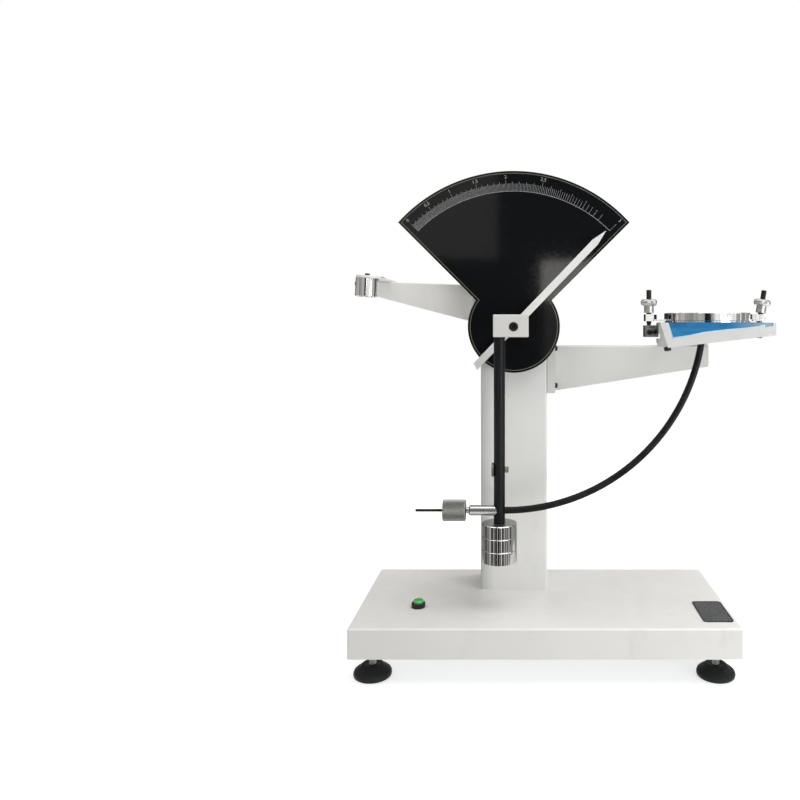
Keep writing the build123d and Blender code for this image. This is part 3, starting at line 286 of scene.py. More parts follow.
# Bottom plate and its screws
# A flat galvanised plate with a row of vents closes the base from below, held
# by pan-head screws into the turned-in flange.


def metal(name, dark, light, rough, scale=60, stretch=(1, 1, 1), depth_m=0.00002):
    """Bare or plated metal with uneven tone, fine grain and a slightly worn sheen."""
    surface, tree, shader = new_finish(name, light, rough[0], 1.0)
    grain = mottle(tree, scale, 6, stretch)
    tree.links.new(mixed(tree, ranged(tree, grain, 0, 1), dark, light), shader.inputs["Base Color"])
    tree.links.new(ranged(tree, grain, rough[0], rough[1]), shader.inputs["Roughness"])
    relief(tree, shader, mottle(tree, 1800, 2, stretch), depth_m, 0.4)
    return surface


galvanised = metal("galvanised_sheet", (0.42, 0.43, 0.44), (0.6, 0.61, 0.62), (0.32, 0.5), 35)
zinc_screw = metal("zinc_screw", (0.48, 0.48, 0.47), (0.64, 0.64, 0.62), (0.25, 0.4), 400)
finish_nodes(galvanised, "base_plate")
finish_nodes(zinc_screw, "plate_screws")

# Levelling feet
# Each is a black nylon bell moulded round the end of a zinc-plated M10 stud,
# with a lock nut under the plate and a nut inside the base.
foot_in_x = 233
foot_in_y = 83
foot_spots = {
    "foot_front_left": (-foot_in_x, -foot_in_y), "foot_back_left": (-foot_in_x, foot_in_y),
    "foot_front_right": (foot_in_x, -foot_in_y), "foot_back_right": (foot_in_x, foot_in_y),
}
foot_stud_r = 5.0
foot_stud_low = 16.8
foot_stud_top = 56.5
bell_seat = 16.9
bell_top = 17.5
bell_profile = [
    (0, 0), (20, 0), (23.6, 0.3), (25.4, 1.7), (26, 4), (25.8, 6.4), (24.6, 8.8), (22.2, 10.9),
    (19.2, 12.8), (16.6, 14.6), (14.6, 16.6), (13.4, bell_top), (8.2, bell_top), (7.6, bell_seat),
    (foot_stud_r, bell_seat), (0, bell_seat),
]
coarse_pitch = 1.5


def in_metres(bm, name, surface):
    """Link a mesh that was made in millimetres from the pivot."""
    bm.transform(Matrix.Translation(pivot) @ Matrix.Scale(0.001, 4))
    return keep_mesh(bm, name, surface)


def from_floor(x, y, z):
    """Millimetres from the middle of the base on the floor, given from the pivot."""
    return Vector((x, y, z)) - pivot * 1000


def facing(place, axis):
    """A frame at a place whose Z runs along an axis."""
    return Matrix.Translation(place) @ Vector(axis).to_track_quat("Z", "Y").to_matrix().to_4x4()


def turned(profile, placing, segments=64):
    """Spin a profile of (radius, height) pairs into a closed turned shape."""
    bm = bmesh.new()
    line = [bm.verts.new((r, 0, z)) for r, z in profile]
    edges = [bm.edges.new(pair) for pair in zip(line, line[1:])]
    bmesh.ops.spin(
        bm, geom=line + edges, cent=(0, 0, 0), axis=(0, 0, 1), angle=math.tau, steps=segments, use_merge=True
    )
    bmesh.ops.remove_doubles(bm, verts=bm.verts[:], dist=0.0001)
    bmesh.ops.recalc_face_normals(bm, faces=bm.faces[:])
    bm.transform(placing)
    return bm


def threaded(radius, depth, pitch, start, stop, placing, steps=14):
    """A round bar with a helical thread, cut square at both ends."""
    turns = math.ceil((stop - start) / pitch) + 2
    profile = [(radius - depth, 0), (radius, pitch * 0.45), (radius, pitch * 0.55), (radius - depth, pitch)]
    bm = bmesh.new()
    line = [bm.verts.new((r, 0, z + start - pitch)) for r, z in profile]
    edges = [bm.edges.new(pair) for pair in zip(line, line[1:])]
    bmesh.ops.spin(
        bm, geom=line + edges, cent=(0, 0, 0), axis=(0, 0, 1), dvec=(0, 0, pitch / steps),
        angle=math.tau * turns, steps=steps * turns,
    )
    bmesh.ops.remove_doubles(bm, verts=bm.verts[:], dist=0.0005)
    for height, side in ((start, -1), (stop, 1)):
        cut = bmesh.ops.bisect_plane(
            bm, geom=bm.verts[:] + bm.edges[:] + bm.faces[:], dist=0.0001,
            plane_co=(0, 0, height), plane_no=(0, 0, side), clear_outer=True,
        )
        rim = [e for e in cut["geom_cut"] if isinstance(e, bmesh.types.BMEdge)]
        bmesh.ops.edgeloop_fill(bm, edges=rim)
    bmesh.ops.recalc_face_normals(bm, faces=bm.faces[:])
    bm.transform(placing)
    return bm


def gathered(first, *others):
    """Several meshes in one."""
    for other in others:
        carrier = bpy.data.meshes.new("carrier")
        other.to_mesh(carrier)
        other.free()
        first.from_mesh(carrier)
        bpy.data.meshes.remove(carrier)
    return first


def moulded(name, dark, light, rough, scale=220, depth_m=0.00003, sheen=0.25):
    """Moulded plastic or rubber: fine texture, slight bloom and dust."""
    surface, tree, shader = new_finish(name, light, rough[0])
    shader.inputs["Specular IOR Level"].default_value = sheen
    bloom = mottle(tree, scale, 4)
    tree.links.new(mixed(tree, ranged(tree, bloom, 0, 1), dark, light), shader.inputs["Base Color"])
    tree.links.new(ranged(tree, bloom, rough[0], rough[1]), shader.inputs["Roughness"])
    relief(tree, shader, mottle(tree, 2200, 2), depth_m, 0.5)
    return surface


nylon = moulded("black_nylon", (0.006, 0.0065, 0.007), (0.013, 0.014, 0.015), (0.42, 0.6), 90)
zinc_stud = metal("zinc_stud", (0.4, 0.4, 0.39), (0.56, 0.56, 0.54), (0.28, 0.42), 300)
for foot, (x, y) in foot_spots.items():
    standing = Matrix.Translation(from_floor(x, y, 0))
    bell = in_metres(turned(bell_profile, standing), foot + "_bell", nylon)
    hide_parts(foot)
    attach(bell, foot)
    stud_thread = threaded(foot_stud_r, 0.8, coarse_pitch, foot_stud_low, foot_stud_top, standing, 20)
    stud = in_metres(stud_thread, foot + "_stud", zinc_stud)
    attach(stud, foot)
    for polygon in bell.data.polygons:
        polygon.use_smooth = True
finish_nodes(zinc_screw, "foot_nuts")

# Release button
# A green moulded cap on a spring, in a black collar. The switch's body reaches
# down through a hole in the top of the base.
button_spot = from_floor(-176.5, -43, 78)
cap_low = 2.8
cap_top = 10.5
cap_r = 7.5
cap_profile = [(0, cap_low), (cap_r - 0.3, cap_low), (cap_r, cap_low + 0.3), (cap_r, cap_top - 2.2),
               (cap_r - 0.35, cap_top - 1.1), (cap_r - 1.2, cap_top - 0.35), (cap_r - 2.4, cap_top),
               (cap_r - 3.2, cap_top - 0.15), (3, cap_top - 0.45), (0, cap_top - 0.55)]
green_cap = moulded("green_cap", (0.06, 0.36, 0.08), (0.11, 0.48, 0.14), (0.2, 0.32), 60, 0.00001, 0.5)
black_collar = moulded("black_collar", (0.010, 0.010, 0.010), (0.02, 0.02, 0.02), (0.3, 0.45))
cap = in_metres(turned(cap_profile, Matrix.Translation(button_spot), 48), "green_push_cap", green_cap)
for polygon in cap.data.polygons:
    polygon.use_smooth = True
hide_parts("button_cap")
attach(cap, "release_button")
finish_nodes(black_collar, "button_body")

# Bare plate on the right front of the base
# A thin anodised plate with rounded corners and a narrow raised rim. It is left
# blank, with the dull mottling of a plate that has been handled.
plate_low, plate_high = (Vector(corner) * 1000 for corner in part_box("blank_plate"))
plate_rim_w = 1.6
plate_rim_h = 0.25
plate_corner = 5.0
plate_mottle, plate_tree, plate_shader = new_finish("mottled_plate", (0.12, 0.12, 0.125), 0.42, 0.35)
plate_spots = mottle(plate_tree, 340, 5, (1, 1.6, 1))
plate_share = ranged(plate_tree, plate_spots, 0, 1, 0.38, 0.62)
plate_tone = mixed(plate_tree, plate_share, (0.035, 0.036, 0.038), (0.16, 0.165, 0.17))
plate_tree.links.new(plate_tone, plate_shader.inputs["Base Color"])
plate_tree.links.new(ranged(plate_tree, plate_spots, 0.34, 0.55), plate_shader.inputs["Roughness"])
relief(plate_tree, plate_shader, mottle(plate_tree, 900, 3), 0.00004, 0.5)
finish_nodes(plate_mottle, "blank_plate")
plate_black = moulded("plate_rim_black", (0.012, 0.012, 0.013), (0.028, 0.028, 0.03), (0.35, 0.5))
rim_bm = bmesh.new()
corners = [rim_bm.verts.new((x, y, plate_high.z)) for x, y in (
    (plate_low.x, plate_low.y), (plate_high.x, plate_low.y),
    (plate_high.x, plate_high.y), (plate_low.x, plate_high.y),
)]
rim_bm.faces.new(corners)
bmesh.ops.bevel(
    rim_bm, geom=rim_bm.verts[:], offset=plate_corner, offset_type="OFFSET", segments=8, profile=0.5,
    affect="VERTICES", material=-1,
)
bmesh.ops.inset_region(
    rim_bm, faces=rim_bm.faces[:], thickness=plate_rim_w, use_boundary=True, use_even_offset=True
)
bmesh.ops.delete(rim_bm, geom=[max(rim_bm.faces, key=lambda f: f.calc_area())], context="FACES")
raised = bmesh.ops.extrude_face_region(rim_bm, geom=rim_bm.faces[:])
bmesh.ops.translate(
    rim_bm, vec=(0, 0, plate_rim_h), verts=[v for v in raised["geom"] if isinstance(v, bmesh.types.BMVert)]
)
bmesh.ops.recalc_face_normals(rim_bm, faces=rim_bm.faces[:])
rim_bm.transform(Matrix.Scale(0.001, 4))
plate_rim = keep_mesh(rim_bm, "blank_plate_rim", plate_black)
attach(plate_rim, "stand")

# Power inlet and release supply
# A snap-in socket for a removable lead at the back, and the boxed supply that
# feeds the magnet, standing on the bottom plate.
inlet_black = moulded("inlet_black", (0.012, 0.012, 0.012), (0.024, 0.024, 0.024), (0.32, 0.46), 140)
supply_grey = enamel("supply_grey", ((0.27, 0.28, 0.29), (0.34, 0.35, 0.36)))
finish_nodes(inlet_black, "power_inlet")
finish_nodes(supply_grey, "power_supply")

# Column
# A square steel tube in the same enamel, greyed along its left edge as painted
# shade, bolted to a foot block under the top of the base and closed by a folded cap.
column_tones = ((0.75, 0.748, 0.73), (0.79, 0.788, 0.77))
painted_shade_tone = (0.46, 0.47, 0.47)
shade_from = -50
shade_to = -30
column_enamel = enamel("column_enamel", column_tones)
column_tree = column_enamel.node_tree
column_shader = column_tree.nodes["Principled BSDF"]
column_parts = column_tree.nodes.new("ShaderNodeSeparateXYZ")
column_tree.links.new(own_place(column_tree, (1000, 1000, 1000), pivot), column_parts.inputs[0])
column_sprayed = column_shader.inputs["Base Color"].links[0].from_socket
# Painted shade: the enamel turns grey towards the column's left edge.
column_unshaded_share = ranged(column_tree, column_parts.outputs[0], 0, 1, shade_from, shade_to)
column_tone = mixed(column_tree, column_unshaded_share, painted_shade_tone, column_sprayed)
column_tree.links.new(column_tone, column_shader.inputs["Base Color"])
finish_nodes(column_enamel, "column", "column_cap")
finish_nodes(galvanised, "column_foot")
finish_nodes(zinc_screw, "column_bolts")

# Bearing housing
# A turned grey flange and barrel through the column, two ball bearings, and a
# cap over the shaft's end at the back, with socket screws in the flange.
housing_grey = enamel("housing_grey", ((0.2, 0.205, 0.21), (0.26, 0.265, 0.27)))
bearing_steel = metal("bearing_steel", (0.3, 0.3, 0.3), (0.62, 0.62, 0.61), (0.16, 0.3), 500)
black_oxide = metal("black_oxide", (0.006, 0.006, 0.007), (0.016, 0.016, 0.018), (0.3, 0.46), 120)
blacked_shader = black_oxide.node_tree.nodes["Principled BSDF"]
blacked_shader.inputs["Metallic"].default_value = 0.0
blacked_shader.inputs["Specular IOR Level"].default_value = 0.25
finish_nodes(housing_grey, "bearing_housing", "rear_cap")
finish_nodes(bearing_steel, "shaft_bearings")
housing_screw_ring = 28.5
housing_screw_front = 61.0


def socket_head(bm, placing, diameter, height):
    """A socket cap head: bevelled drum with a hexagon recess, closed all round."""
    radius = diameter / 2
    bevel = 0.08 * diameter
    loops = []
    for r, z, sides in (
        (radius, 0, 24), (radius, height - bevel, 24), (radius - bevel, height, 24),
        (radius * 0.52, height, 6), (radius * 0.52, height * 0.45, 6),
    ):
        raised_to = placing @ Matrix.Translation((0, 0, z))
        ring = bmesh.ops.create_circle(bm, segments=sides, radius=r, matrix=raised_to)
        edges = list({e for v in ring["verts"] for e in v.link_edges})
        if sides == 6:
            split = bmesh.ops.subdivide_edges(bm, edges=edges, cuts=3)
            edges = list({e for e in split["geom"] if isinstance(e, bmesh.types.BMEdge)})
        loops.append(edges)
    for low, high in zip(loops, loops[1:]):
        bmesh.ops.bridge_loops(bm, edges=low + high)
    bmesh.ops.edgeloop_fill(bm, edges=loops[0])
    bmesh.ops.edgeloop_fill(bm, edges=loops[-1])


def head_set(name, node, heads, body="stand"):
    """Socket heads in place of a node's plain ones, as (place, axis, diameter, height)."""
    bm = bmesh.new()
    for place, axis, diameter, height in heads:
        socket_head(bm, facing(place, axis), diameter, height)
    bmesh.ops.recalc_face_normals(bm, faces=bm.faces[:])
    piece = in_metres(bm, name, black_oxide)
    if node:
        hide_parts(node)
    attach(piece, body)


housing_screw_spot = Vector((housing_screw_ring, housing_screw_front, 0))
head_set("housing_socket_screws", "housing_screws", [
    (Matrix.Rotation(math.radians(turn), 3, "Y") @ housing_screw_spot, (0, -1, 0), 8.5, 4.5)
    for turn in (45, 135, 225, 315)
])

# Dial plate
# One sheet of black acrylic on four hexagon standoffs: a disc round the pivot
# and a quarter-circle fan. A thin olive line follows its edge, and the energy
# scale is screen printed: 0 to 3 joules, 0.02 to a tick, spaced as a cosine.
gloss_acrylic, gloss_tree, gloss_shader = new_finish("gloss_acrylic", (0.006, 0.0065, 0.007), 0.06)
gloss_shader.inputs["Specular IOR Level"].default_value = 0.4
gloss_dust = mottle(gloss_tree, 260, 6)
gloss_share = ranged(gloss_tree, gloss_dust, 0, 1, 0.7, 0.86)
gloss_tone = mixed(gloss_tree, gloss_share, (0.006, 0.0065, 0.0075), (0.025, 0.026, 0.027))
gloss_tree.links.new(gloss_tone, gloss_shader.inputs["Base Color"])
gloss_tree.links.new(ranged(gloss_tree, gloss_dust, 0.05, 0.1, 0.4, 0.75), gloss_shader.inputs["Roughness"])
relief(gloss_tree, gloss_shader, mottle(gloss_tree, 14, 2), 0.00003, 0.2)
finish_nodes(gloss_acrylic, "dial_plate")
finish_nodes(zinc_screw, "dial_standoffs")


def ink(name, dark, light):
    """Screen-printed ink, thin and slightly uneven."""
    surface, tree, shader = new_finish(name, light, 0.5)
    thin = mottle(tree, 700, 4)
    tree.links.new(mixed(tree, ranged(tree, thin, 0, 1), dark, light), shader.inputs["Base Color"])
    tree.links.new(ranged(tree, thin, 0.42, 0.6), shader.inputs["Roughness"])
    relief(tree, shader, thin, 0.00001, 0.4)
    return surface


white_ink = ink("white_ink", (0.24, 0.24, 0.245), (0.4, 0.4, 0.405))
olive_ink = ink("olive_ink", (0.1, 0.105, 0.065), (0.16, 0.165, 0.115))
print_y = 45 - 0.04
fan_r = 230
disc_r = 68
fan_drop = 17
line_inset = 3.0
line_w = 0.95
full_energy = 3.0
scale_r = 200
scale_line_half_w = 0.35
tick_w = 0.42
tick_lengths = (11.4, 14.0, 17.0)
full_angle = 45


def edge_loop(bm, inset):
    """The dial's outline moved inwards: fan, flank, disc, flank."""
    fan = fan_r - inset
    disc = disc_r - inset
    drop = fan_drop - inset * math.sqrt(2)
    corner = (drop + math.sqrt(2 * fan * fan - drop * drop)) / 2
    neck = (drop + math.sqrt(2 * disc * disc - drop * drop)) / 2
    fan_turn = math.atan2(corner, corner - drop)
    neck_turn = math.atan2(neck, neck - drop)
    turns = [(fan, fan_turn * (1 - 2 * i / 60)) for i in range(61)]
    turns += [(disc, -neck_turn - (math.tau - 2 * neck_turn) * i / 60) for i in range(61)]
    ring = [bm.verts.new((r * math.sin(turn), print_y, r * math.cos(turn))) for r, turn in turns]
    return [bm.edges.new(pair) for pair in zip(ring, ring[1:] + ring[:1])]


line_bm = bmesh.new()
outer_edges = edge_loop(line_bm, line_inset)
bmesh.ops.bridge_loops(line_bm, edges=outer_edges + edge_loop(line_bm, line_inset + line_w))
bmesh.ops.recalc_face_normals(line_bm, faces=line_bm.faces[:])
if line_bm.faces[:][0].normal.y > 0:
    bmesh.ops.reverse_faces(line_bm, faces=line_bm.faces[:])
edge_line = in_metres(line_bm, "dial_edge_line", olive_ink)
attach(edge_line, "stand")


def printed_bar(bm, inner, outer, width, turn):
    """A flat printed bar from one radius to another at an angle right of vertical."""
    placing = (
        Matrix.Rotation(math.radians(turn), 4, "Y")
        @ Matrix.Translation((0, print_y, (inner + outer) / 2))
        @ Matrix.Rotation(math.radians(90), 4, "X")
        @ Matrix.Diagonal((width, outer - inner, 1, 1))
    )
    bmesh.ops.create_grid(bm, x_segments=1, y_segments=1, size=0.5, matrix=placing)


def scale_turn(energy):
    """Where an energy stands on the dial, in degrees right of vertical."""
    return full_angle - math.degrees(math.acos(energy / full_energy))


scale_bm = bmesh.new()
arc_ends = [
    scale_bm.verts.new(Matrix.Rotation(math.radians(-full_angle), 3, "Y") @ Vector((0, print_y, r)))
    for r in (scale_r - scale_line_half_w, scale_r + scale_line_half_w)
]
bmesh.ops.spin(
    scale_bm, geom=arc_ends + [scale_bm.edges.new(arc_ends)], cent=(0, 0, 0), axis=(0, 1, 0),
    angle=math.radians(2 * full_angle), steps=120,
)
for tick in range(151):
    reach = tick_lengths[0 if tick % 5 else 2 if tick in (25, 50, 75, 100, 125) else 1]
    printed_bar(scale_bm, scale_r, scale_r + reach, tick_w, scale_turn(full_energy * tick / 150))


def printed_text(bm, words, size, place, turn):
    """Lettering in the plain built-in face, centred on a place of the dial."""
    curve = bpy.data.curves.new("lettering", "FONT")
    curve.body = words
    curve.size = size
    curve.align_x = "CENTER"
    curve.align_y = "CENTER"
    curve.resolution_u = 3
    holder = bpy.data.objects.new("lettering", curve)
    bpy.context.scene.collection.objects.link(holder)
    bpy.context.view_layer.update()
    mesh = bpy.data.meshes.new_from_object(holder)
    placing = (
        Matrix.Rotation(math.radians(turn), 4, "Y")
        @ Matrix.Translation(place)
        @ Matrix.Rotation(math.radians(90), 4, "X")
    )
    mesh.transform(placing)
    bm.from_mesh(mesh)
    bpy.data.objects.remove(holder)
    bpy.data.curves.remove(curve)
    bpy.data.meshes.remove(mesh)


numeral_size = 7.2
numeral_r = 221.2
for step in range(7):
    energy = step / 2
    printed_text(scale_bm, "%g" % energy, numeral_size, (0, print_y, numeral_r), scale_turn(energy))
for face in scale_bm.faces:
    if face.normal.y > 0:
        face.normal_flip()
scale_print = in_metres(scale_bm, "dial_scale", white_ink)
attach(scale_print, "stand")

# Pointer
# A lance cut from thin sheet and enamelled white, pressed on a brass bush that
# turns freely on the shaft in front of a spring clip.
pointer_enamel = enamel("pointer_enamel", ((0.74, 0.74, 0.72), (0.80, 0.80, 0.79)))
turned_brass = metal("turned_brass", (0.5, 0.36, 0.14), (0.7, 0.54, 0.24), (0.2, 0.34), 300)
finish_nodes(pointer_enamel, "pointer")
finish_nodes(turned_brass, "pointer_bush")

# Pivot shaft, collar and hub block
# A ground shaft carries a driver collar and the enamelled block that holds the
# rod beside the shaft, drawn up by one large blacked socket screw.
ground_steel = metal("ground_steel", (0.44, 0.44, 0.44), (0.6, 0.6, 0.59), (0.12, 0.26), 200)
hub_enamel = enamel("hub_enamel", ((0.61, 0.605, 0.582), (0.65, 0.648, 0.625)))
finish_nodes(ground_steel, "pivot_shaft", "driver_collar", "shaft_clip")
finish_nodes(hub_enamel, "hub_block")
finish_nodes(black_oxide, "pivot_screw")

# Pendulum rod and strike arm
# The rod is blacked steel bar with faint marks along its length. The arm is a
# thinner bar bent to one arc and passed through the rod above the weights.
rod_black = metal("rod_black", (0.004, 0.0045, 0.005), (0.011, 0.012, 0.013), (0.26, 0.42), 40, (9, 9, 0.5))
arm_black = metal("arm_black", (0.004, 0.005, 0.0045), (0.012, 0.014, 0.013), (0.3, 0.48), 70)
for bar in (rod_black, arm_black):
    bar_shader = bar.node_tree.nodes["Principled BSDF"]
    bar_shader.inputs["Metallic"].default_value = 0.0
    bar_shader.inputs["Specular IOR Level"].default_value = 0.13
finish_nodes(rod_black, "pendulum_rod")
finish_nodes(arm_black, "strike_arc")
finish_nodes(black_oxide, "weight_bolt", "hinge_pins")

# Weights and striking head
# Steel turned and then polished along the outside until it mirrors the room in
# narrow streaks, with the fine rings of the facing cut on the flat ends, which
# are toned darker as painted shade.


def polished(name, axis, centre, side_tone=0.74, shaded_end_tone=0.36, rough=(0.045, 0.1)):
    """Polished round the side with lengthways streaks, and ringed on the flat ends, whose darker tone is
    painted shade.
    """
    surface, tree, shader = new_finish(name, (side_tone,) * 3, rough[0], 1.0)
    where = tree.nodes.new("ShaderNodeTexCoord")
    parts = tree.nodes.new("ShaderNodeSeparateXYZ")
    join(tree, where, "Normal", parts, 0)
    upright = tree.nodes.new("ShaderNodeMath")
    upright.operation = "ABSOLUTE"
    join(tree, parts, axis, upright, 0)
    flat = ranged(tree, upright.outputs[0], 0, 1, 0.9, 0.97)
    stain = mottle(tree, 120, 5)
    lengthways = [0.03 if letter == axis else 1 for letter in "XYZ"]
    streak = mottle(tree, 420, 3, lengthways)
    side = mixed(tree, ranged(tree, streak, 0, 1, 0.4, 0.56), (side_tone * 0.7,) * 3, (side_tone,) * 3)
    # Painted shade: the flat ends take a darker tone than the polished side.
    end = (shaded_end_tone, shaded_end_tone * 0.98, shaded_end_tone * 0.95)
    tree.links.new(mixed(tree, flat, side, end), shader.inputs["Base Color"])
    rings = tree.nodes.new("ShaderNodeTexWave")
    rings.wave_type = "RINGS"
    rings.rings_direction = axis.upper()
    rings.inputs["Scale"].default_value = 420
    rings.inputs["Distortion"].default_value = 0.6
    tree.links.new(own_place(tree, (1, 1, 1), centre), rings.inputs["Vector"])
    low = ranged(tree, stain, rough[0], rough[1])
    dull = tree.nodes.new("ShaderNodeMath")
    dull.operation = "MULTIPLY_ADD"
    tree.links.new(flat, dull.inputs[0])
    dull.inputs[1].default_value = 0.26
    tree.links.new(low, dull.inputs[2])
    join(tree, dull, 0, shader, "Roughness")
    cut = tree.nodes.new("ShaderNodeMix")
    tree.links.new(flat, cut.inputs["Factor"])
    tree.links.new(streak, cut.inputs[2])
    tree.links.new(rings.outputs["Fac"], cut.inputs[3])
    relief(tree, shader, cut.outputs[0], 0.00003, 0.6)
    return surface


weight_finish = polished("polished_weight", "Z", pivot + Vector((-0.020, 0, 0)))
finish_nodes(weight_finish, "top_weight", "middle_weight", "bottom_weight", "impact_head")

# Armature
# A soft iron disc on the left of the rod that the magnet holds, with its socket
# screw through the rod.
iron = metal("soft_iron", (0.1, 0.1, 0.1), (0.2, 0.2, 0.19), (0.3, 0.45), 220)
finish_nodes(iron, "armature")

# Balance adjuster
# A plated sleeve, a fine threaded stud and a knurled drum that is screwed along
# the stud to bring the pendulum's balance in.
stud_z = -259.5
stud_left = -138.5
stud_right = -66.3
drum_left = -99.8
drum_right = -67.6
drum_r = 15.0
drum_bore = 2.05
stud_r = 2.0
fine_pitch = 0.7


def knurled(bm, placing, radius, length, teeth, bore, depth=0.35, rounding=1.6):
    """A drum with straight knurling between rounded ends, bored through."""
    loops = []
    stations = [
        (bore, 0, 0), (radius - rounding, 0, 0), (radius - 0.3 * rounding, 0.3 * rounding, 0.3),
        (radius, rounding, 1), (radius, length - rounding, 1),
        (radius - 0.3 * rounding, length - 0.3 * rounding, 0.3), (radius - rounding, length, 0),
        (bore, length, 0),
    ]
    for r, z, cut in stations:
        ring = bmesh.ops.create_circle(
            bm, segments=2 * teeth, radius=r, matrix=placing @ Matrix.Translation((0, 0, z))
        )
        middle = placing @ Vector((0, 0, z))
        for vert in ring["verts"][::2]:
            vert.co = middle + (vert.co - middle) * (1 - cut * depth / r)
        loops.append(list({e for v in ring["verts"] for e in v.link_edges}))
    for low, high in zip(loops, loops[1:] + loops[:1]):
        bmesh.ops.bridge_loops(bm, edges=low + high)
    bmesh.ops.recalc_face_normals(bm, faces=bm.faces[:])


knurled_steel = metal("knurled_steel", (0.22, 0.22, 0.21), (0.31, 0.31, 0.3), (0.38, 0.5), 500)
thread_steel = metal("dark_thread", (0.025, 0.03, 0.025), (0.065, 0.072, 0.06), (0.32, 0.5), 300)
drum_bm = bmesh.new()
knurled(drum_bm, facing((drum_left, 0, stud_z), (1, 0, 0)), drum_r, drum_right - drum_left, 100, drum_bore)
drum = in_metres(drum_bm, "knurled_drum", knurled_steel)
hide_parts("balance_drum")
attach(drum, "balance_drum")
along_stud = facing((stud_left, 0, stud_z), (1, 0, 0))
fine_thread = threaded(stud_r, 0.35, fine_pitch, 0, stud_right - stud_left, along_stud, 12)
fine_stud = in_metres(fine_thread, "fine_stud", thread_steel)
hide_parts("adjuster_stud")
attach(fine_stud, "pendulum")
sleeve_middle = pivot + Vector((0, 0, stud_z / 1000))
# Painted shade: the sleeve's polished tone is set darker than the weights' to stand in for the darker room it
# mirrors.
sleeve_finish = polished("polished_sleeve_painted_shade", "X", sleeve_middle, 0.5, 0.3, (0.14, 0.24))
finish_nodes(sleeve_finish, "adjuster_sleeve")

# Arms
# Both are box sections folded and welded from sheet, deeper at the column than
# at their ends, enamelled, and screwed to the column's sides by their flanges.
arm_enamel = enamel("arm_enamel", ((0.61, 0.61, 0.588), (0.655, 0.655, 0.635)))
# Painted light: the left arm's enamel is a lighter copy of the right arm's, standing in for light on that
# arm.
left_arm_painted_light_enamel = enamel("left_arm_painted_light_enamel", ((0.79, 0.788, 0.765), (0.84, 0.838, 0.815)))
finish_nodes(arm_enamel, "right_arm")
finish_nodes(left_arm_painted_light_enamel, "left_arm")
flange_spots = [(-62, -1, 66.5, 62.5), (62, 1, -26.5, 69.0)]
screw_in = 6.3
flange_depths = (69 + screw_in, 139 - screw_in)
head_set("arm_socket_screws", "arm_screws", [
    ((x, depth, z), (side, 0, 0), 7.8, 3.9)
    for x, side, top, height in flange_spots
    for depth in flange_depths
    for z in (top - screw_in, top - height + screw_in)
])

# Release magnet
# A polished steel pot with a wound coil round its core, hung by a socket screw
# under an enamelled strip that is screwed on top of the left arm.


def flat_block(bm, outline, low, high, edge):
    """A plan outline pulled up between two heights, its upper and lower edges eased."""
    base = bm.faces.new([bm.verts.new((x, y, low)) for x, y in outline])
    grown = bmesh.ops.extrude_face_region(bm, geom=[base])
    top = [v for v in grown["geom"] if isinstance(v, bmesh.types.BMVert)]
    bmesh.ops.translate(bm, vec=(0, 0, high - low), verts=top)
    flats = [base] + [part for part in grown["geom"] if isinstance(part, bmesh.types.BMFace)]
    rims = list({e for flat in flats for e in flat.edges})
    bmesh.ops.bevel(bm, geom=rims, offset=edge, segments=2, profile=0.5, affect="EDGES", material=-1)


tilt = math.radians(3)
magnet_along = Vector((math.cos(tilt), 0, -math.sin(tilt)))
magnet_up = Vector((math.sin(tilt), 0, math.cos(tilt)))
strip_t = 3.3
strip_under = Vector((-207, 0, 68.85))
magnet_top = strip_under + strip_t * magnet_up
magnet_r = 15.75
shell_middle = pivot + Vector((strip_under.x / 1000, 0, 0))
shell_finish = polished("polished_shell", "Z", shell_middle, 0.88, 0.4, (0.06, 0.14))
strip_enamel = enamel("strip_enamel", ((0.74, 0.73, 0.67), (0.82, 0.81, 0.76)))
magnet_iron = metal("magnet_iron", (0.25, 0.25, 0.25), (0.4, 0.4, 0.39), (0.25, 0.4), 200)
coil, coil_tree, coil_shader = new_finish("wound_coil", (0.5, 0.22, 0.1), 0.34, 1.0)
turns_pattern = coil_tree.nodes.new("ShaderNodeTexWave")
turns_pattern.bands_direction = "Z"
turns_pattern.inputs["Scale"].default_value = 320
coil_tree.links.new(own_place(coil_tree), turns_pattern.inputs["Vector"])
coil_tone = mixed(coil_tree, turns_pattern.outputs["Fac"], (0.22, 0.08, 0.035), (0.6, 0.28, 0.13))
coil_tree.links.new(coil_tone, coil_shader.inputs["Base Color"])
relief(coil_tree, coil_shader, turns_pattern.outputs["Fac"], 0.0002)
finish_nodes(shell_finish, "magnet_shell")
tongue_back = 120.0
tongue_neck = 74.0
tongue_right = 20.25
tongue_bm = bmesh.new()
tongue = [(tongue_right, tongue_back), (-magnet_r, tongue_back)]
for turn in (math.pi * i / 24 for i in range(25)):
    tongue.append((-magnet_r * math.cos(turn), -magnet_r * math.sin(turn)))
tongue.append((tongue_right, tongue_neck))
flat_block(tongue_bm, tongue, 0, strip_t, 0.4)
bmesh.ops.recalc_face_normals(tongue_bm, faces=tongue_bm.faces[:])
tongue_bm.transform(Matrix.Translation(strip_under) @ Matrix.Rotation(tilt, 4, "Y"))
magnet_strip = in_metres(tongue_bm, "magnet_strip", strip_enamel)
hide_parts("magnet_plate")
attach(magnet_strip, "stand")
finish_nodes(magnet_iron, "magnet_core")
finish_nodes(coil, "magnet_coil")
head_set("magnet_socket_screws", "magnet_screws", [
    (magnet_top + along * magnet_along + Vector((0, depth, 0)), magnet_up, 7.0, 4.4 if depth else 3.2)
    for along, depth in ((0, 0), (3, 88), (3, 108))
])
side_screw_drop = 12
side_screw_spot = magnet_top - magnet_r * magnet_along - side_screw_drop * magnet_up
head_set("magnet_side_screw", None, [(side_screw_spot, -magnet_along, 6.2, 0.7)])

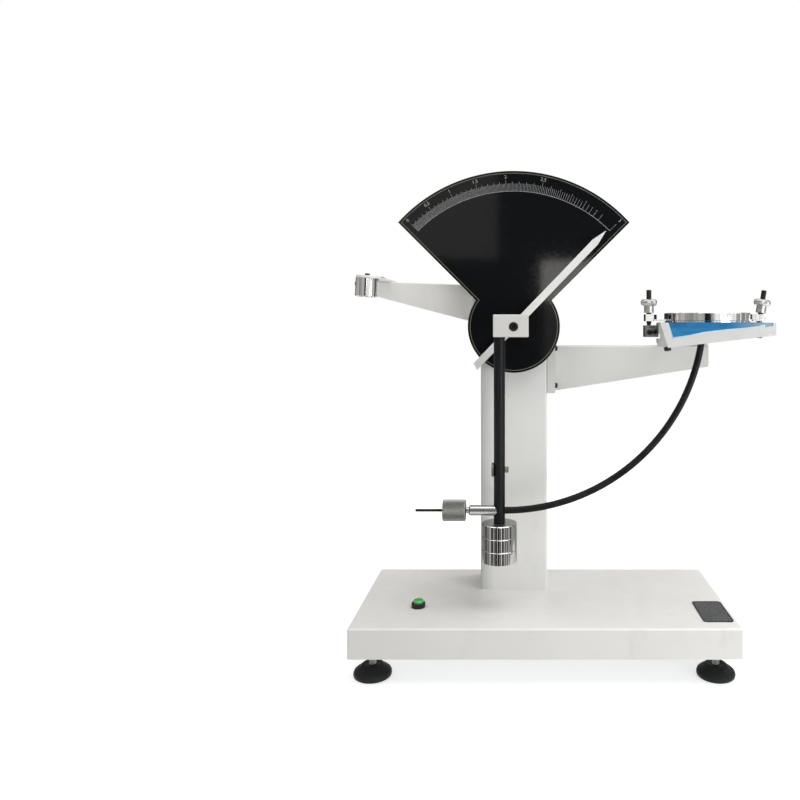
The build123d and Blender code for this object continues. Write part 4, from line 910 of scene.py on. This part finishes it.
# Specimen table
# A tapered tray folded from sheet, with a raised frame front and back, carried
# on the right arm's pedestal, and blue protective film left on its top and front.
table_enamel = enamel("table_enamel", ((0.59, 0.60, 0.59), (0.64, 0.65, 0.64)))
finish_nodes(table_enamel, "specimen_table")
table_top = 5.5
film_y = -64.4
film_edge_y = film_y - 0.03
frame_lip_y = film_y - 0.06
film, film_tree, film_shader = new_finish("blue_film", (0.015, 0.19, 0.42), 0.16)
film_shader.inputs["Specular IOR Level"].default_value = 0.3
film_parts = film_tree.nodes.new("ShaderNodeSeparateXYZ")
film_tree.links.new(own_place(film_tree, (1000, 1000, 1000), pivot), film_parts.inputs[0])
film_creases = mottle(film_tree, 45, 4, (1, 1, 2.2))
# Painted sheen: the film fades pale blue towards its right end, standing in for a glancing reflection.
film_sheen_share = ranged(film_tree, film_parts.outputs[0], 0, 0.85, 288, 336)
# Painted reflection: a dark navy band along the film's top, under the ring, stands in for the ring mirrored
# in the glossy film.
film_reflection_band = ranged(film_tree, film_parts.outputs[2], 0, 1, -4.5, 4.5)
film_painted_reflection = film_tree.nodes.new("ShaderNodeMath")
film_painted_reflection.operation = "MULTIPLY"
film_tree.links.new(film_reflection_band, film_painted_reflection.inputs[0])
film_tree.links.new(ranged(film_tree, film_creases, 0, 1, 0.42, 0.56), film_painted_reflection.inputs[1])
film_share = ranged(film_tree, film_creases, 0, 1)
film_blue = mixed(film_tree, film_share, (0.005, 0.15, 0.36), (0.018, 0.215, 0.46))
film_with_reflection = mixed(film_tree, film_painted_reflection.outputs[0], film_blue, (0.006, 0.045, 0.12))
film_tone = mixed(film_tree, film_sheen_share, film_with_reflection, (0.3, 0.42, 0.52))
film_tree.links.new(film_tone, film_shader.inputs["Base Color"])
film_tree.links.new(ranged(film_tree, film_creases, 0.07, 0.22), film_shader.inputs["Roughness"])
relief(film_tree, film_shader, film_creases, 0.0012, 0.5)
finish_nodes(film, "table_film")
# Painted highlight: pale blue strips along the film's left and lower borders stand in for light caught on the
# film's edge.
film_edge_highlight, pale_tree, pale_shader = new_finish("film_edge_painted_highlight", (0.5, 0.73, 0.87), 0.25)
highlight_share = ranged(pale_tree, mottle(pale_tree, 90, 3), 0, 1)
highlight_tone = mixed(pale_tree, highlight_share, (0.36, 0.6, 0.78), (0.55, 0.77, 0.89))
pale_tree.links.new(highlight_tone, pale_shader.inputs["Base Color"])
edge_w = 1.4
frame_line = [
    (211.1, -15.5), (232.5, -12.6), (253.7, -8.2), (281.9, -4.8), (310.2, -2.4), (324.3, -0.6), (334, 1.8),
]
frame_rise = 16.5 / 133.4
frame_straight = [(x, -15.7 + (x - 211.1) * frame_rise) for x, z in frame_line]
frame_highlight_line = [(x, z + edge_w) for x, z in frame_line]
side_line = [(204.5, table_top), (211.08, -15.5)]
side_highlight_line = [(x + edge_w, z) for x, z in side_line]


def front_strip(bm, upper, lower, y):
    """A flat strip facing the front between two lines of (x, z) points."""
    edges = []
    for line in (upper, lower):
        row = [bm.verts.new((x, y, z)) for x, z in line]
        edges += [bm.edges.new(pair) for pair in zip(row, row[1:])]
    for face in bmesh.ops.bridge_loops(bm, edges=edges)["faces"]:
        face.normal_update()
        if face.normal.y > 0:
            face.normal_flip()


edge_bm = bmesh.new()
front_strip(edge_bm, side_line, side_highlight_line, film_edge_y)
front_strip(edge_bm, frame_highlight_line, frame_line, film_edge_y)
film_edge = in_metres(edge_bm, "film_edge", film_edge_highlight)
lip_bm = bmesh.new()
front_strip(lip_bm, frame_line, frame_straight, frame_lip_y)
frame_lip = in_metres(lip_bm, "frame_lip", table_enamel)
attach(frame_lip, "stand")
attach(film_edge, "stand")
pedestal_spot = (266.5, 104)
head_set("table_socket_screws", "table_screws", [
    ((pedestal_spot[0] + x, pedestal_spot[1] + y, table_top), (0, 0, 1), 7.6, 2.2)
    for x in (-20.5, 20.5) for y in (-9, 9)
])
head_set("table_edge_screws", None, [
    ((205.8, -58, -27), (0.1, 0, -1), 9.4, 5.4), ((327.2, -58, -13.4), (-0.1, 0, -1), 9.4, 1.6),
])

# Seat ring and clamp ring
# Two polished rings hold the film between them. The upper one has two forked
# ears for the swing bolts, milled with it from one piece, and a small stop post.
ring_x = 273.0
ring_finish = polished("polished_ring", "Z", pivot + Vector((ring_x / 1000, 0, 0)), 0.86, 0.5)
ring_low = 7.8
ring_high = 19.1
ring_outer = 59.0
ring_bore = 44.5
ring_edge = 0.6
fork_half_w = 8.0
fork_gap_half = 3.9
fork_web_h = 2.5


def forked_ear(bm, bolt_near, bolt_far, inner, outer):
    """An ear slotted from outside for a bolt that crosses it between two places."""
    side = 1 if outer > inner else -1
    seat = bolt_near if side > 0 else bolt_far
    slot = [
        (seat - side * fork_gap_half * math.cos(turn), -fork_gap_half * math.sin(turn))
        for turn in (math.radians(90 - 15 * i) for i in range(13))
    ]
    outline = [(inner, -fork_half_w), (outer, -fork_half_w), (outer, -fork_gap_half), *slot]
    outline += [(outer, fork_gap_half), (outer, fork_half_w), (inner, fork_half_w)]
    flat_block(bm, outline, ring_low, ring_high - 1.5, 0.3)
    web_end = ring_x + side * (ring_outer - 4)
    web_near = inner + side
    web = [(web_near, -fork_half_w), (web_near, fork_half_w), (web_end, fork_half_w), (web_end, -fork_half_w)]
    flat_block(bm, web, ring_low + 0.1, ring_low + fork_web_h, 0.2)


left_bolt_x = 191.3
right_bolt_x = 345.0
ring_profile = [
    (ring_bore, ring_low + ring_edge), (ring_bore + ring_edge, ring_low),
    (ring_outer - ring_edge, ring_low), (ring_outer, ring_low + ring_edge),
    (ring_outer, ring_high - ring_edge), (ring_outer - ring_edge, ring_high),
    (ring_bore + ring_edge, ring_high), (ring_bore, ring_high - ring_edge), (ring_bore, ring_low + ring_edge),
]
ring_bm = turned(ring_profile, Matrix.Translation((ring_x, 0, 0)), 192)
forked_ear(ring_bm, left_bolt_x, left_bolt_x, 197.0, 185.4)
forked_ear(ring_bm, right_bolt_x - 0.2, right_bolt_x + 4.2, 335.0, 354.8)
bmesh.ops.recalc_face_normals(ring_bm, faces=ring_bm.faces[:])
clamp_ring = in_metres(ring_bm, "eared_clamp_ring", ring_finish)
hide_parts("clamp_ring")
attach(clamp_ring, "stand")
post_spot = (200.2, 0, ring_low + fork_web_h)
post_bm = turned([(0, 0), (2.2, 0), (2.2, 6.4), (1.8, 6.8), (0, 6.8)], Matrix.Translation(post_spot), 24)
stop_post = in_metres(post_bm, "ear_stop_post", black_oxide)
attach(stop_post, "stand")
finish_nodes(ring_finish, "seat_ring")

# Swing bolts, brackets and thumb nuts
# Eye bolts on pins between welded brackets swing up into the ears, and knurled
# nuts pull the ring down on the film.
bracket_steel = metal("bracket_steel", (0.16, 0.16, 0.15), (0.3, 0.3, 0.29), (0.3, 0.46), 90)
finish_nodes(bracket_steel, "lug_brackets")
pin_z = -7.0
pin_front = -7.2
head_set("hinge_pin_heads", None, [
    ((x, pin_front, pin_z + drop), (0, -1, 0), size, 2.2)
    for x, drop, size in ((left_bolt_x, -1, 7.6), (198.6, -0.5, 6.4), (right_bolt_x, 0, 7.6))
])
bolt_r = 3.5
bolt_top = 52.0
bolt_thread_low = 30.5
nut_neck_low = 19.4
nut_neck_h = 10.1
nut_head_h = 9.2
nut_head_r = 11.5
nut_neck_r = 6.8
nut_steel = metal("nut_steel", (0.46, 0.46, 0.45), (0.6, 0.6, 0.59), (0.24, 0.36), 300)
nut_bore = 3.55
for side, bolt_x, lean in (("left", left_bolt_x, 0), ("right", right_bolt_x, 9)):
    axis = (math.sin(math.radians(lean)), 0, math.cos(math.radians(lean)))
    pin = Vector((bolt_x, 0, pin_z))
    bolt_thread = threaded(bolt_r, 0.55, 1.0, bolt_thread_low, bolt_top - pin_z - 0.2, facing(pin, axis), 18)
    shank = in_metres(bolt_thread, side + "_bolt_thread", thread_steel)
    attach(shank, side + "_bolt")
    finish_nodes(black_oxide, side + "_swing_bolt")
    start = (nut_neck_low - pin_z) / math.cos(math.radians(lean))
    head_from = facing(pin + Vector(axis) * (start + nut_neck_h), axis)
    neck_end = start + nut_neck_h + 0.4
    nut_bm = bmesh.new()
    knurled(nut_bm, head_from, nut_head_r, nut_head_h, 44, nut_bore, 0.3, 3.3)
    nut_neck = turned([
        (nut_bore, neck_end), (nut_bore, start), (nut_neck_r - 0.5, start), (nut_neck_r, start + 0.5),
        (nut_neck_r, neck_end), (nut_bore, neck_end),
    ], facing(pin, axis), 48)
    nut = in_metres(gathered(nut_bm, nut_neck), side + "_knurled_nut", nut_steel)
    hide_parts(side + "_thumb_nut")
    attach(nut, side + "_nut")
